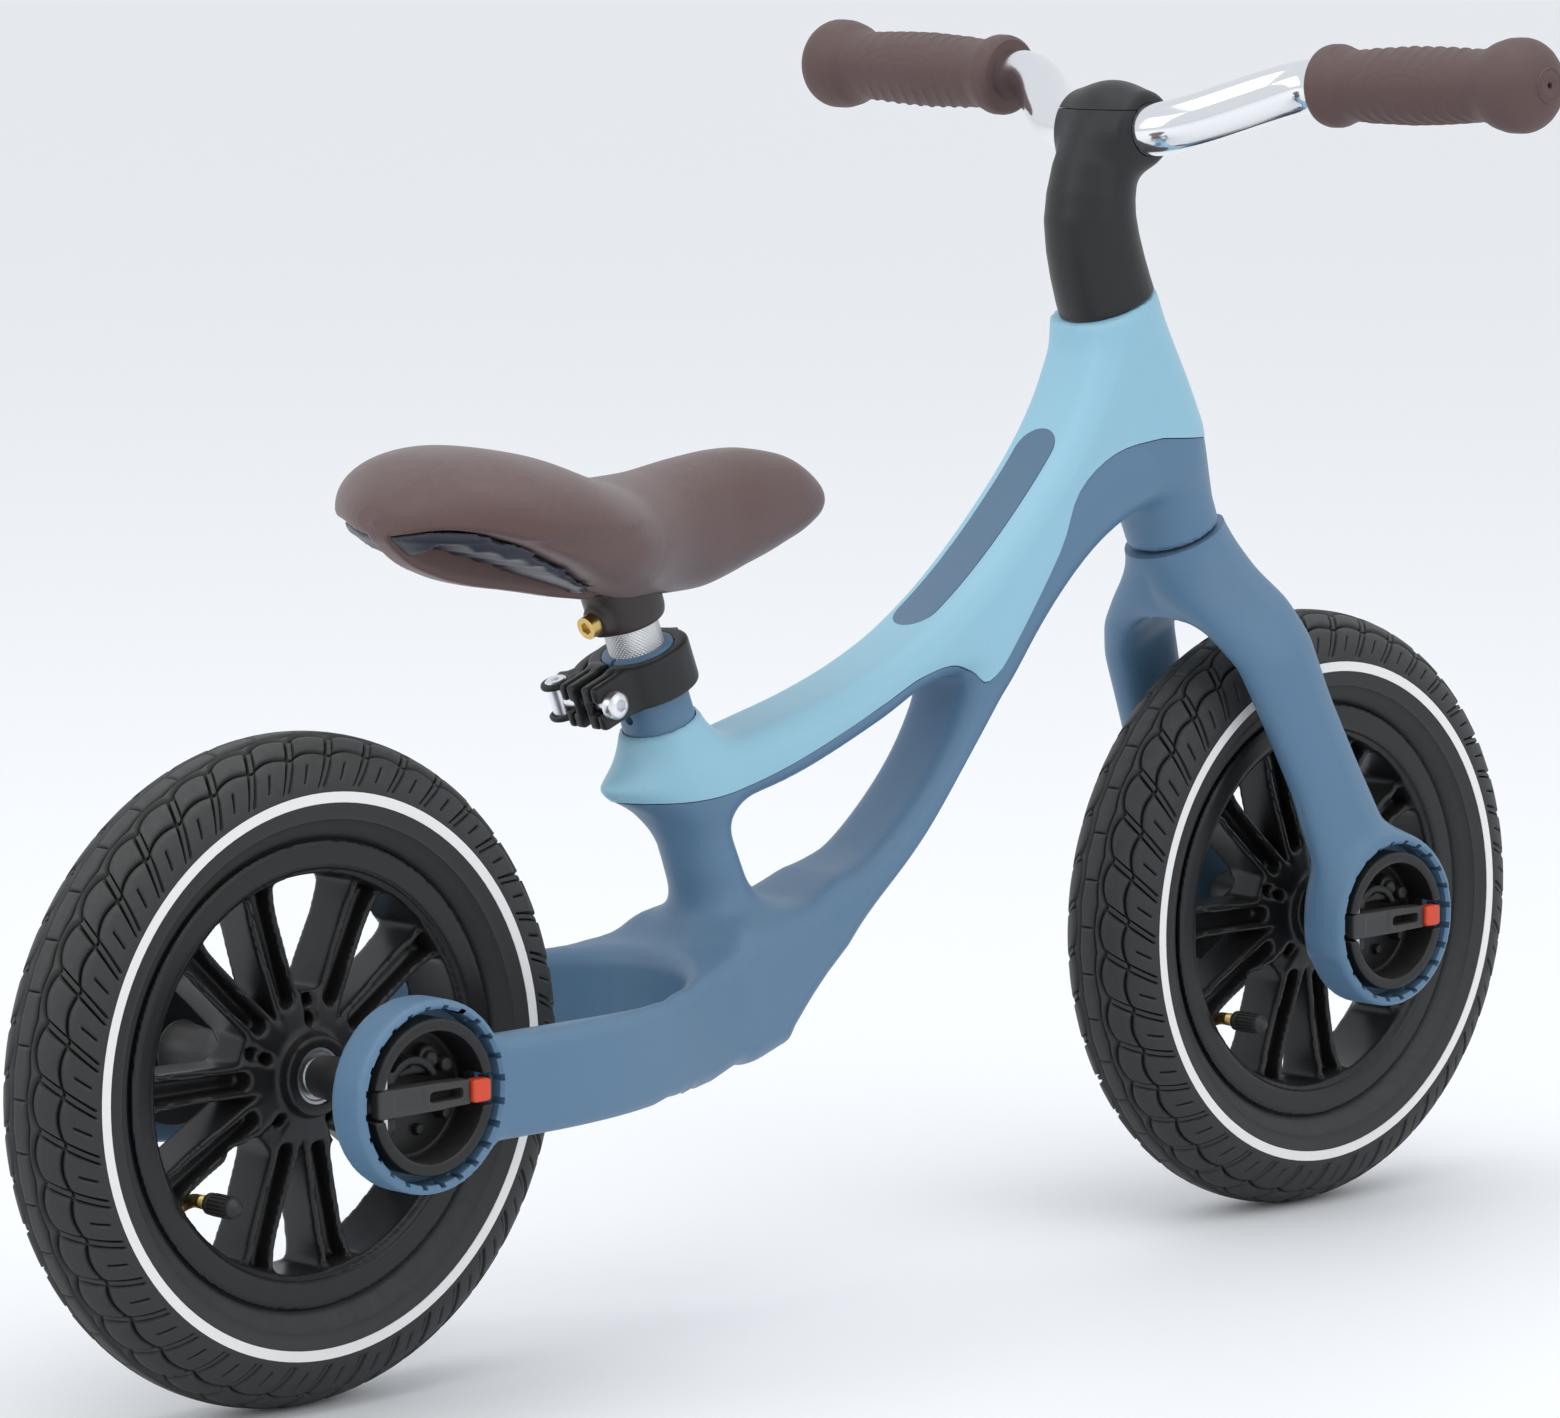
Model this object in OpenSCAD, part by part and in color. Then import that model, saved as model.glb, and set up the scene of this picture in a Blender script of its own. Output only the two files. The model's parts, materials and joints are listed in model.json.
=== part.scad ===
// Child's balance bike: two spoked wheels, a moulded frame and fork with
// fold-out wheel locks, a sliding saddle with a cam clamp, and a gooseneck stem.
// Rest position: wheels straight, all levers closed. +X forward, +Y left, +Z up.
// Origin: on the ground, midway between the two axles.

/* [Wheels] */
// Distance between the two axles
wheelbase = 561; // [500:1:680]
// Outer radius of the tyres
tyre_r = 127; // [110:1:155]
// Overall width of a tyre
tyre_w = 45; // [38:1:54]
// Radius of the rim lip that the tyre sits behind
rim_r = 88; // [80:1:94]
// Overall width of the rim
rim_w = 34; // [28:1:37]
// Width of the light band on each side wall
band_w = 4; // [2:0.5:6]
// Number of spoke pairs
spoke_pairs = 5; // [3:1:5]
// Angle between the two spokes of a pair
pair_angle = 30; // [24:1:33]
// Width of one spoke
spoke_w = 13; // [10:0.5:16]
// Outer radius of the hub
hub_r = 15.5; // [13.5:0.5:19]
// Overall width of the hub
hub_w = 38; // [32:1:44]

/* [Axles and wheel locks] */
// Radius of the axle
axle_r = 4; // [3:0.5:5]
// Outer radius of a wheel bearing
bearing_r = 11; // [10:0.5:12]
// Width of a wheel bearing
bearing_w = 7; // [5:0.5:8]
// Outer radius of the rings that hold the locks
ring_r = 36.5; // [35:0.5:42]
// Outer radius of a lock cup
cup_r = 29.2; // [25:0.1:30]
// Width of a ring along the axle
ring_w = 18; // [16:0.5:24]
// Distance between the outer faces of the rear rings
rear_track = 168; // [150:1:190]
// Distance between the outer faces of the fork rings
fork_track = 121; // [116:1:136]
// Height of a lock's grip bar
bar_h = 11; // [9:0.5:14]
// Travel of a lock's button
button_travel = 2.5; // [1.5:0.5:3]

/* [Fork and head] */
// Tilt of the steering axis from vertical, in degrees
head_tilt = 22.5; // [18:0.5:27]
// Length of the frame's head along the steering axis
head_len = 107.2; // [90:1:130]
// Outer radius at the top of the head
head_r = 20.5; // [19:0.5:24]
// Distance from the steering axis forward to the front axle
fork_rake = 5.2; // [0:0.2:12]
// Gap between the front tyre and the fork's arch
arch_gap = 6; // [4:1:12]
// Height of the fork's crown above its arch
crown_h = 47.8; // [42:1:60]
// Outer radius of the steerer tube
steerer_r = 12.7; // [11:0.1:14]

/* [Frame] */
// Width of the top tube and down tube
tube_w = 40; // [38:1:48]
// Wall of the light-coloured top cover
cover_wall = 3; // [2:0.5:4]
// Height of the stays beside the rear wheel
stay_h = 39.5; // [34:0.5:46]
// Radius of the seat tube
seat_tube_r = 14.5; // [13.5:0.1:17]

/* [Saddle] */
// Tilt of the seat tube from vertical, in degrees
seat_tilt = 21; // [17:0.5:24]
// Radius of the seat post
post_r = 11.1; // [10:0.1:12]
// Length of the saddle
saddle_len = 237; // [210:1:260]
// Width of the saddle
saddle_w = 124; // [105:1:140]
// Length of seat post that shows above the clamp
post_show = 12; // [10:1:60]

/* [Handlebar] */
// Overall width across the grip ends
bar_w = 410; // [380:2:480]
// Radius of the handlebar tube
bar_r = 11; // [9.5:0.5:12]
// Distance from the grips' inner ends to the middle of the bar
grip_start = 89; // [80:1:110]
// Height of the handlebar's middle above the top of the head
stem_rise = 71; // [60:1:85]
// Distance of the handlebar's middle ahead of the head's top
stem_ahead = 4; // [0:1:14]

/* [Hidden] */
// Running gap between turning pieces
run_gap = 0.3;
// Radial clearance of a pivot or shaft
fit_gap = 0.05;
// Height of the axles above the ground
axle_z = tyre_r;
// Distance from the axle's level up to the crown's top face along the steering axis
fork_len = tyre_r + arch_gap + crown_h;
// Crown face, where the steering axis meets the bottom of the head
head_x = wheelbase - fork_len * sin(head_tilt) - fork_rake * cos(head_tilt);
head_z = axle_z + fork_len * cos(head_tilt) - fork_rake * sin(head_tilt);
// Point where the seat axis leaves the top cover
seat_x = 192;
seat_z = axle_z + 113;
// Height of the seat clamp's middle above that point, along the seat axis
clamp_at = 23;
clamp_h = 18;
clamp_r = 20.5;
// Bottom of the saddle socket along the seat axis
socket_at = clamp_at + clamp_h / 2 + post_show;
socket_len = 21;
// Slide distances left above and below the post's rest place
seat_drop = 8;
post_in = 104;
// Inner faces of the stays
rear_in = rear_track / 2 - ring_w;
// Round end of the wheel opening: its middle, and how far forward it reaches
well_x = 90;
well_end = 186;
cup_wall = 4.7;
cup_floor = 6;
$fn = 64;

// ---- places -------------------------------------------------------------

// Everything is drawn from the rear axle's foot and moved to the origin once
module placed() translate([-wheelbase / 2, 0, 0]) children();
// Along the steering axis, s upward from the crown face
module on_steering(s = 0)
    translate([head_x, 0, head_z]) rotate([0, -head_tilt, 0]) translate([0, 0, s]) children();
// Along the seat axis, s upward from where it leaves the cover
module on_seat(s = 0)
    translate([seat_x, 0, seat_z]) rotate([0, -seat_tilt, 0]) translate([0, 0, s]) children();
module at_rear() translate([0, 0, axle_z]) children();
module at_front() translate([wheelbase, 0, axle_z]) children();
// Lays a shape drawn along +Z onto +Y
module along_y() rotate([-90, 0, 0]) children();
// A side outline in X and Z, given a width across the bike
module side_slab(width) rotate([90, 0, 0]) linear_extrude(width, center = true) children();

// Points measured from the crown face, and from the rear axle
function from_head(x, z) = [head_x + x, head_z + z];
function from_axle(x, z) = [x, axle_z + z];

// Closed skin over a list of rings that hold the same number of points each
module loft(rings) {
    n = len(rings[0]);
    m = len(rings);
    polyhedron(points = [for (r = rings) each r], faces = concat(
        [[for (i = [0:n - 1]) i]],
        [[for (i = [n - 1:-1:0]) (m - 1) * n + i]],
        [for (j = [0:m - 2], i = [0:n - 1]) [j * n + i, (j + 1) * n + (i + 1) % n, j * n + (i + 1) % n]],
        [for (j = [0:m - 2], i = [0:n - 1]) [j * n + i, (j + 1) * n + i, (j + 1) * n + (i + 1) % n]]));
}

// Rounded oval with half sizes a and b at angle t; round = 1 is an ellipse
function soft(v, round) = sign(v) * pow(abs(v), round);
function oval(a, b, t, round = 0.75) = [a * soft(cos(t), round), b * soft(sin(t), round)];

// ---- frame --------------------------------------------------------------

// Side outline of top tube, seat column and down tube
module tube_outline() polygon(concat(
    [from_head(-60, 91), from_head(-67, 80), from_head(-74, 64), from_head(-89, 42),
     from_head(-114, 16), from_head(-139, -7), from_head(-164, -26)],
    [from_axle(298, 128.5), from_axle(273, 119), from_axle(250, 112.5), from_axle(220, 106),
     from_axle(190, 102), from_axle(172, 96), from_axle(167, 87), from_axle(178, 80),
     from_axle(192, 71), from_axle(200, 55), from_axle(202, 41), from_axle(190, 31),
     from_axle(188, -19), from_axle(237, -15.5), from_axle(240, -9), from_axle(250, 0),
     from_axle(275, 20), from_axle(300, 38)],
    [from_head(-162, -110), from_head(-137, -80), from_head(-112, -49), from_head(-87, -18),
     from_head(-55, 8), from_head(-14, 22), from_head(-42, 94)]));

// Opening between the top tube and the down tube
module window_outline() polygon(concat(
    [from_axle(219, 42), from_axle(215, 55), from_axle(214, 70), from_axle(220, 80),
     from_axle(234, 86), from_axle(263, 94), from_axle(300, 108)],
    [from_head(-160, -45), from_head(-141, -45), from_head(-141, -62), from_head(-152, -82),
     from_head(-172, -102)],
    [from_axle(290, 49), from_axle(256, 36.5), from_axle(232, 34)]));

// Region taken by the light top cover
module cover_region() polygon(concat(
    [from_axle(150, 86), from_axle(175, 83), from_axle(200, 83.5), from_axle(225, 87),
     from_axle(250, 94.5), from_axle(275, 103), from_axle(300, 113)],
    [from_head(-170, -44), from_head(-152, -41), from_head(-137, -45), from_head(-131, -49),
     from_head(-117, -34), from_head(-92, 0), from_head(-85, 21), from_head(-60, 36),
     from_head(-31, 42), from_head(40, 41), from_head(40, 150)],
    [from_axle(150, 290)]));

// Middle of the tubes, kept by the frame under the cover
module core_outline() polygon(concat(
    [from_axle(205, 84), from_axle(205, 98), from_axle(222, 101), from_axle(250, 108),
     from_axle(273, 114), from_axle(300, 124)],
    [from_head(-161, -31), from_head(-137, -11), from_head(-111, 12), from_head(-86, 37),
     from_head(-72, 60), from_head(-64, 78), from_head(-50, 80), from_head(-10, 30),
     from_head(-80, 10), from_head(-112, -36), from_head(-150, -49)],
    [from_axle(300, 106), from_axle(263, 93), from_axle(232, 84)]));

// Head of the frame, turned about the steering axis
module head_shape() on_steering() rotate_extrude() polygon([
    [0, 0.5], [19, 0.5], [21.5, 20], [24.5, 40], [head_r + 1, 58],
    [head_r, head_len - 0.5], [0, head_len - 0.5]]);

// Deck and stays seen from above: the outside, then round the wheel opening
deck_half = [[-8, 1], [60, 1], [105, 0.93], [140, 0.79], [175, 0.6], [205, 0.45], [235, 0.34],
    [262, 0.27]];
module deck_plan() {
    outside = [for (p = deck_half) [p[0], p[1] * rear_track / 2]];
    polygon(concat(outside, [for (i = [len(outside) - 1:-1:0]) [outside[i][0], -outside[i][1]]],
        [[-8, -rear_in]],
        [for (t = [-90:15:90]) [well_x + (well_end - well_x) * cos(t), rear_in * sin(t)]],
        [[-8, rear_in]]));
}
module deck_outline() polygon([
    from_axle(-8, 18), from_axle(120, 18), from_axle(190, 23), from_axle(215, 30),
    from_axle(256, 36), from_axle(268, 40), from_axle(268, 14), from_axle(250, 0),
    from_axle(240, -9), from_axle(237, -15.5), from_axle(204, -18), from_axle(175, 18 - stay_h),
    from_axle(-8, 18 - stay_h)]);

module frame_solid() {
    side_slab(tube_w) tube_outline();
    head_shape();
    intersection() {
        side_slab(rear_track) deck_outline();
        translate([0, 0, axle_z - 60]) linear_extrude(140) deck_plan();
    }
}

// One ring of a pair, its outer face at distance y from the middle plane
module ring_pair(track, width) for (side = [-1, 1])
    translate([0, side * (track / 2 - width / 2), 0]) along_y()
        cylinder(r = ring_r, h = width, center = true);
// Seat and counterbore for a cup in each ring
module ring_bores(track, width) for (side = [0, 1]) mirror([0, side, 0]) {
    translate([0, track / 2 - width - 1, 0]) along_y() cylinder(r = cup_r + fit_gap, h = width + 2);
    translate([0, track / 2 - 12, 0]) along_y() cylinder(r = cup_r + 3.4, h = 13);
}

module seat_tube() on_seat(-90) cylinder(r = seat_tube_r, h = 90 + clamp_at + clamp_h / 2 + 1);
module seat_bore() on_seat(clamp_at - 30 - post_in) cylinder(r = post_r + fit_gap, h = post_in + 60);
module head_bore() on_steering(-1) cylinder(r = 17, h = head_len + 2);

module main_frame() color([0.44, 0.58, 0.70]) placed() difference() {
    union() {
        difference() {
            frame_solid();
            side_slab(rear_track + 20) window_outline();
            side_slab(rear_track + 20) cover_region();
        }
        side_slab(tube_w - 2 * cover_wall) core_outline();
        seat_tube();
        at_rear() ring_pair(rear_track, ring_w);
    }
    seat_bore();
    head_bore();
    at_rear() ring_bores(rear_track, ring_w);
    // slit that lets the clamp close the seat tube, with a round end
    on_seat(clamp_at - clamp_h / 2 - 6) rotate([0, -90, 0]) cylinder(r = 2.2, h = 30);
    on_seat(clamp_at - clamp_h / 2 - 6) translate([-30, -1, 0]) cube([30, 2, 40]);
    // small round hole low on the back of the seat tube
    on_seat(-4) rotate([0, -90, 0]) cylinder(r = 3, h = 30);
}

module top_tube_cover() color([0.68, 0.84, 0.92]) placed() difference() {
    intersection() {
        union() {
            side_slab(tube_w) tube_outline();
            head_shape();
            on_seat(-28) cylinder(r = seat_tube_r + 9, h = 24);
        }
        side_slab(rear_track) cover_region();
    }
    side_slab(tube_w - 2 * cover_wall) core_outline();
    seat_tube();
    head_bore();
    badge_solid();
}

// Plain strip let into the top of the cover
badge_t = 1.2;
badge_w = 21;
module badge_outline() intersection() {
    difference() {
        tube_outline();
        translate([0.7 * badge_t, -0.8 * badge_t]) tube_outline();
    }
    polygon([from_head(-163, -45), from_head(-163, 0), from_head(-110, 60), from_head(-75, 90),
        from_head(-70, 68), from_head(-80, 30), from_head(-105, 5), from_head(-150, -45)]);
}
module badge_solid() side_slab(badge_w) badge_outline();
module top_tube_badge() color([0.40, 0.52, 0.63]) placed() badge_solid();

module head_sleeve() color("silver") placed() on_steering(0.5) difference() {
    cylinder(r = 17, h = head_len - 1);
    translate([0, 0, -1]) cylinder(r = 15, h = head_len + 1);
    translate([0, 0, -1]) cylinder(r = 16.5, h = 4);
    translate([0, 0, head_len - 4]) cylinder(r = 16.5, h = 4);
}

// Flanged plain bearing, flange end at s = 0 and body along +Z
module bush() difference() {
    union() {
        cylinder(r = 16.5, h = 3.2);
        cylinder(r = 15, h = 16);
    }
    translate([0, 0, -1]) cylinder(r = steerer_r + fit_gap, h = 20);
}
module headset_lower_bush() color("dimgray") placed() on_steering(run_gap) bush();
module headset_upper_bush() color("dimgray") placed()
    on_steering(head_len - run_gap) mirror([0, 0, 1]) bush();

// ---- seat clamp, post and saddle -----------------------------------------

ear_at = 29;
ear_w = 9;
barrel_y = 18;
module seat_clamp_collar() color([0.16, 0.16, 0.16]) placed() on_seat(clamp_at) difference() {
    union() {
        cylinder(r = clamp_r, h = clamp_h, center = true);
        translate([-ear_at - 6, -2 - ear_w, -clamp_h / 2]) cube([ear_at, 2 * ear_w + 4, clamp_h]);
    }
    cylinder(r = seat_tube_r, h = clamp_h + 4, center = true);
    translate([-60, -2, -20]) cube([60, 4, 40]);
    translate([-ear_at, 0, 0]) along_y() cylinder(r = 3.1, h = 60, center = true);
}
module clamp_bolt() color("silver") placed() on_seat(clamp_at) translate([-ear_at, 0, 0]) {
    translate([0, -2 - ear_w, 0]) along_y() cylinder(r = 3, h = barrel_y + 2 + ear_w - 4.5);
    translate([0, -2 - ear_w - 5, 0]) along_y() difference() {
        cylinder(r = 5.5, h = 5);
        translate([0, 0, -1]) cylinder(r = 2.6, h = 4, $fn = 6);
    }
}
module clamp_barrel() color("silver") placed() on_seat(clamp_at)
    translate([-ear_at, barrel_y, 0]) cylinder(r = 4.5, h = 17, center = true);
module clamp_lever() color([0.12, 0.12, 0.12]) placed() on_seat(clamp_at) difference() {
    union() {
        translate([-ear_at, barrel_y, 0]) cylinder(r = 6.6, h = 16, center = true);
        intersection() {
            translate([0, 0, -5]) difference() {
                cylinder(r = clamp_r + 8.5, h = 10);
                translate([0, 0, -1]) cylinder(r = clamp_r + 3, h = 12);
            }
            translate([0, 0, -8]) linear_extrude(16) polygon([[-30, 22], [-40, 60], [50, 60], [34, 5], [14, 5]]);
        }
        translate([-ear_at, barrel_y, -5]) rotate([0, 0, 22]) cube([16, 6.4, 10]);
    }
    translate([-ear_at, barrel_y, 0]) cylinder(r = 4.5 + fit_gap, h = 30, center = true);
    translate([-ear_at - 20, barrel_y - 12, -5.5]) cube([26, 12, 11]);
    translate([-ear_at - 20, barrel_y - 12, -5.5]) cube([20.5, 20, 11]);
}

post_bottom = clamp_at - 30 - post_in + seat_drop + 4;
module seat_post() color("silver") placed() difference() {
    on_seat(post_bottom) cylinder(r = post_r, h = socket_at + socket_len - 4 - post_bottom);
    on_seat(post_bottom - 1) cylinder(r = post_r - 1.6, h = socket_at + socket_len - post_bottom + 2);
    saddle_screw_shank();
}

// Saddle stations from tail to nose: share of length, share of half width, top, bottom
saddle_tail_x = 45;
saddle_rows = [[0, 0.16, 333, 325], [0.03, 0.42, 345, 315], [0.09, 0.74, 354, 307],
    [0.17, 0.93, 356, 301], [0.27, 1, 352, 297], [0.37, 0.93, 344, 293], [0.47, 0.72, 337.5, 290],
    [0.58, 0.5, 339, 290], [0.7, 0.38, 344, 291], [0.8, 0.34, 345.5, 298], [0.9, 0.27, 341, 306],
    [0.96, 0.19, 333, 312], [1, 0.08, 325, 317]];
// Saddle heights are held against the seat clamp
function saddle_z(z) = z - 240 + seat_z + (post_show - 12) * cos(seat_tilt);
module saddle_shape() loft([for (s = saddle_rows) [for (t = [0:18:342])
    let (o = oval(s[1] * saddle_w / 2, (s[2] - s[3]) / 2, t, 0.8))
    [saddle_tail_x + s[0] * saddle_len - (post_show - 12) * sin(seat_tilt), o[0],
     saddle_z((s[2] + s[3]) / 2) + o[1]]]]);
module saddle_pan_shape() translate([-(post_show - 12) * sin(seat_tilt), 0, 0]) side_slab(saddle_w * 0.6)
    polygon([[66, saddle_z(318)], [72, saddle_z(303)], [100, saddle_z(296)], [200, saddle_z(292)],
        [212, saddle_z(303)], [120, saddle_z(314)]]);
module saddle_hand_slot() translate([78 - (post_show - 12) * sin(seat_tilt), -27, saddle_z(290)])
    cube([56, 54, 15]);
module saddle_cushion() color([0.44, 0.34, 0.33]) placed() difference() {
    saddle_shape();
    saddle_pan_shape();
    saddle_hand_slot();
    saddle_socket_shape();
}
module saddle_base() color([0.20, 0.20, 0.25]) placed() difference() {
    saddle_pan_shape();
    saddle_hand_slot();
    saddle_socket_shape();
}
module saddle_socket_shape() on_seat(socket_at) cylinder(r = post_r + 4.5, h = socket_len);
module saddle_screw_shank() on_seat(socket_at + 7) rotate([0, -90, 0])
    cylinder(r = 2.5, h = post_r + 9);
module saddle_socket() color([0.26, 0.21, 0.21]) placed() difference() {
    saddle_socket_shape();
    on_seat(socket_at - 1) cylinder(r = post_r, h = socket_len - 3);
    saddle_screw_shank();
}
module saddle_bolt() color([0.55, 0.48, 0.38]) placed() {
    saddle_screw_shank();
    on_seat(socket_at + 7) rotate([0, -90, 0]) translate([0, 0, post_r + 5]) difference() {
        cylinder(r = 4.6, h = 5.5);
        translate([0, 0, 2.5]) cylinder(r = 2.6, h = 4, $fn = 6);
    }
}

// ---- fork, stem and handlebar ---------------------------------------------

// Fork blade stations: down the steering axis, ahead, share of the way out, half length, half width.
// Those below the crown are drawn for a fork of blade_drawn_len and stretch with the fork.
crown_rows_end = 40;
blade_drawn_len = 180.8;
blade_rows = [[6, 0, 0.12, 17, 12], [22, -2, 0.385, 20, 13], [36, -1, 0.625, 20, 12],
    [52, 0, 0.78, 18.5, 10.5], [80, 0, 0.86, 18, 10], [110, 1, 0.93, 18, 10], [140, 2, 0.97, 20, 10],
    [165, 3.5, 1, 24, 9.5]];
blade_out = fork_track / 2 - 11;
function blade_down(d) = d > crown_rows_end ? d * fork_len / blade_drawn_len : d;
module blade(side) loft([for (b = blade_rows) [for (t = [0:24:336])
    let (o = oval(b[3], b[4], -side * t, 0.8), down = blade_down(b[0]))
    [head_x + down * sin(head_tilt) + (b[1] + o[0]) * cos(head_tilt),
     side * (b[2] * blade_out + o[1]),
     head_z - down * cos(head_tilt) + (b[1] + o[0]) * sin(head_tilt)]]]);
module fork() color([0.44, 0.58, 0.70]) placed() difference() {
    union() {
        on_steering() rotate_extrude() polygon([[0, 0], [19, 0], [19.5, -8], [22, -18], [21, -30],
            [0, -34]]);
        blade(-1);
        blade(1);
        at_front() ring_pair(fork_track, ring_w + 3);
    }
    at_front() ring_bores(fork_track, ring_w + 3);
    on_steering(-24) cylinder(r = steerer_r, h = 30);
    at_front() along_y() cylinder(r = tyre_r + arch_gap - 1, h = tyre_w + 7, center = true);
}
module steerer() color("silver") placed() on_steering(-24) difference() {
    cylinder(r = steerer_r, h = 24 + head_len + 38);
    translate([0, 0, -1]) cylinder(r = steerer_r - 2, h = 26 + head_len + 38);
    translate([0, 0, 24]) rotate([0, head_tilt, 0]) translate([-head_x, 0, -head_z]) stem_screw(0);
}

top_x = head_x - head_len * sin(head_tilt);
top_z = head_z + head_len * cos(head_tilt);
stem_x = top_x + stem_ahead;
stem_z = top_z + stem_rise;
cap_z = stem_z + 8;
module stem_shape() {
    hull() {
        on_steering(head_len) cylinder(r = head_r, h = 2, $fn = 32);
        on_steering(head_len + 40) translate([6, 0, 0]) cylinder(r = 18.6, h = 2, $fn = 32);
    }
    hull() {
        on_steering(head_len + 40) translate([6, 0, 0]) cylinder(r = 18.6, h = 2, $fn = 32);
        translate([stem_x, 0, stem_z]) along_y() cylinder(r = 17, h = 40, center = true, $fn = 32);
    }
}
module bar_bore() translate([stem_x, 0, stem_z]) along_y()
    cylinder(r = bar_r + fit_gap, h = 80, center = true);
module cap_zone() translate([stem_x - 40, -40, cap_z]) cube([80, 80, 40]);
module stem() color([0.15, 0.15, 0.15]) placed() difference() {
    stem_shape();
    bar_bore();
    cap_zone();
    on_steering(head_len - 1) cylinder(r = steerer_r, h = 39);
    stem_screw(0);
}
module stem_cap() color([0.17, 0.17, 0.17]) placed() difference() {
    intersection() {
        stem_shape();
        cap_zone();
    }
    bar_bore();
}
// Screw that pulls the bar's clamp together, hidden behind the bar in the stem's neck
module stem_screw(slack) on_steering(head_len + 12) rotate([0, -90, 0]) translate([0, 0, -14])
    cylinder(r = 2.5 - slack, h = 24);
module stem_bolt() color("silver") placed() stem_screw(fit_gap);

// Route of one half of the bar: straight in the stem, one bend forward and up, then the grip
bend_x = 32;
bend_z = 18.5;
function ease(t) = t * t * (3 - 2 * t);
function bar_point(y) = let (a = abs(y), t = max(0, min(1, (a - 20) / (grip_start - 24))))
    [stem_x + bend_x * ease(t), y, stem_z + bend_z * ease(t) + 3 * max(0, a - grip_start) / 110];
bar_steps = [for (y = [-bar_w / 2 + 14, -grip_start, for (k = [-10:1:10]) k * 8.2, grip_start,
    bar_w / 2 - 14]) y];
function bar_ring(y, r) = let (p = bar_point(y), d = bar_point(y + 1) - bar_point(y - 1),
    f = d / norm(d), u = cross(f, [1, 0, 0]), v = u / norm(u), w = cross(f, v))
    [for (t = [0:22.5:337.5]) p + r * cos(t) * v + r * sin(t) * w];
module handlebar() color("silver") placed() difference() {
    loft([for (y = bar_steps) bar_ring(y, bar_r)]);
    loft([for (y = concat([-bar_w / 2 + 13], bar_steps, [bar_w / 2 - 13]))
        bar_ring(y, bar_r - 1.8)]);
}

// Grip drawn along +Z from its inner collar to the ball end
module grip_shape() {
    grip_len = bar_w / 2 - grip_start;
    ball_r = 19;
    difference() {
        rotate_extrude() polygon(concat(
            [[0, 0], [15, 0], [16.8, 2], [16.8, 8], [14.8, 14], [14.4, 40], [14.9, 66],
             [14.6, grip_len - 34]],
            [for (t = [-35:15:70]) [ball_r * cos(t), grip_len - 14 + 14 * sin(t)]],
            [[5, grip_len], [0, grip_len]]));
        translate([0, 0, -1]) cylinder(r = bar_r + 0.3, h = grip_len - 12);
        translate([0, 0, grip_len - 8]) cylinder(r = 1.2, h = 20);
    }
}
module grip(side) color([0.44, 0.34, 0.33]) placed()
    translate([stem_x + bend_x, side * grip_start, stem_z + bend_z])
        rotate([side * -90 + side * 1.5, 0, 0]) grip_shape();
module grip_left() grip(1);
module grip_right() grip(-1);

// ---- wheels -----------------------------------------------------------------

// Half section of the tyre: outside oval, then the inside
tread_c = (tyre_r + rim_r - 4) / 2;
module tyre_section() {
    high = tyre_r - tread_c;
    wall = 3.4;
    polygon(concat(
        [for (t = [-62:8.3:242]) [tread_c + high * sin(t), tyre_w / 2 * soft(cos(t), 0.9)]],
        [[rim_r - 5, -rim_w / 2 + 4.4], [rim_r - 5, -rim_w / 2 + 8]],
        [for (t = [236:-10.2:-56]) [tread_c + (high - wall) * sin(t), (tyre_w / 2 - wall) * cos(t)]],
        [[rim_r - 5, rim_w / 2 - 8], [rim_r - 5, rim_w / 2 - 4.4]]));
}
module band_rings() for (side = [0, 1]) mirror([0, side, 0]) along_y()
    translate([0, 0, tyre_w / 2 - 0.9]) difference() {
        cylinder(r = tread_c - 1 + band_w / 2, h = 1);
        translate([0, 0, -1]) cylinder(r = tread_c - 1 - band_w / 2, h = 3);
    }
module tyre() color([0.2, 0.21, 0.21]) difference() {
    along_y() rotate_extrude($fn = 96) tyre_section();
    band_rings();
    along_y() difference() {
        cylinder(r = rim_r + 0.2, h = rim_w + 0.4, center = true);
        cylinder(r = rim_r + 2, h = rim_w - 6.6, center = true);
    }
}
module inner_tube() color([0.1, 0.1, 0.1]) along_y() rotate_extrude() difference() {
    translate([tread_c + 1, 0]) circle(r = tyre_w / 2 - 5.5, $fn = 32);
    translate([tread_c + 1, 0]) circle(r = tyre_w / 2 - 7, $fn = 32);
}

spoke_in = rim_r - 13;
web_r = hub_r + 7;
first_pair = 50;
spoke_angles = [for (pair = [0:spoke_pairs - 1], side = [-1, 1])
    first_pair + pair * 360 / spoke_pairs + side * pair_angle / 2];
// A spoke seen from the side, from radius a to radius b, wider towards the rim
module spoke_face(a, b) polygon([[a, -spoke_w * 0.44], [b, -spoke_w * 0.61],
    [b, spoke_w * 0.61], [a, spoke_w * 0.44]]);
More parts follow.
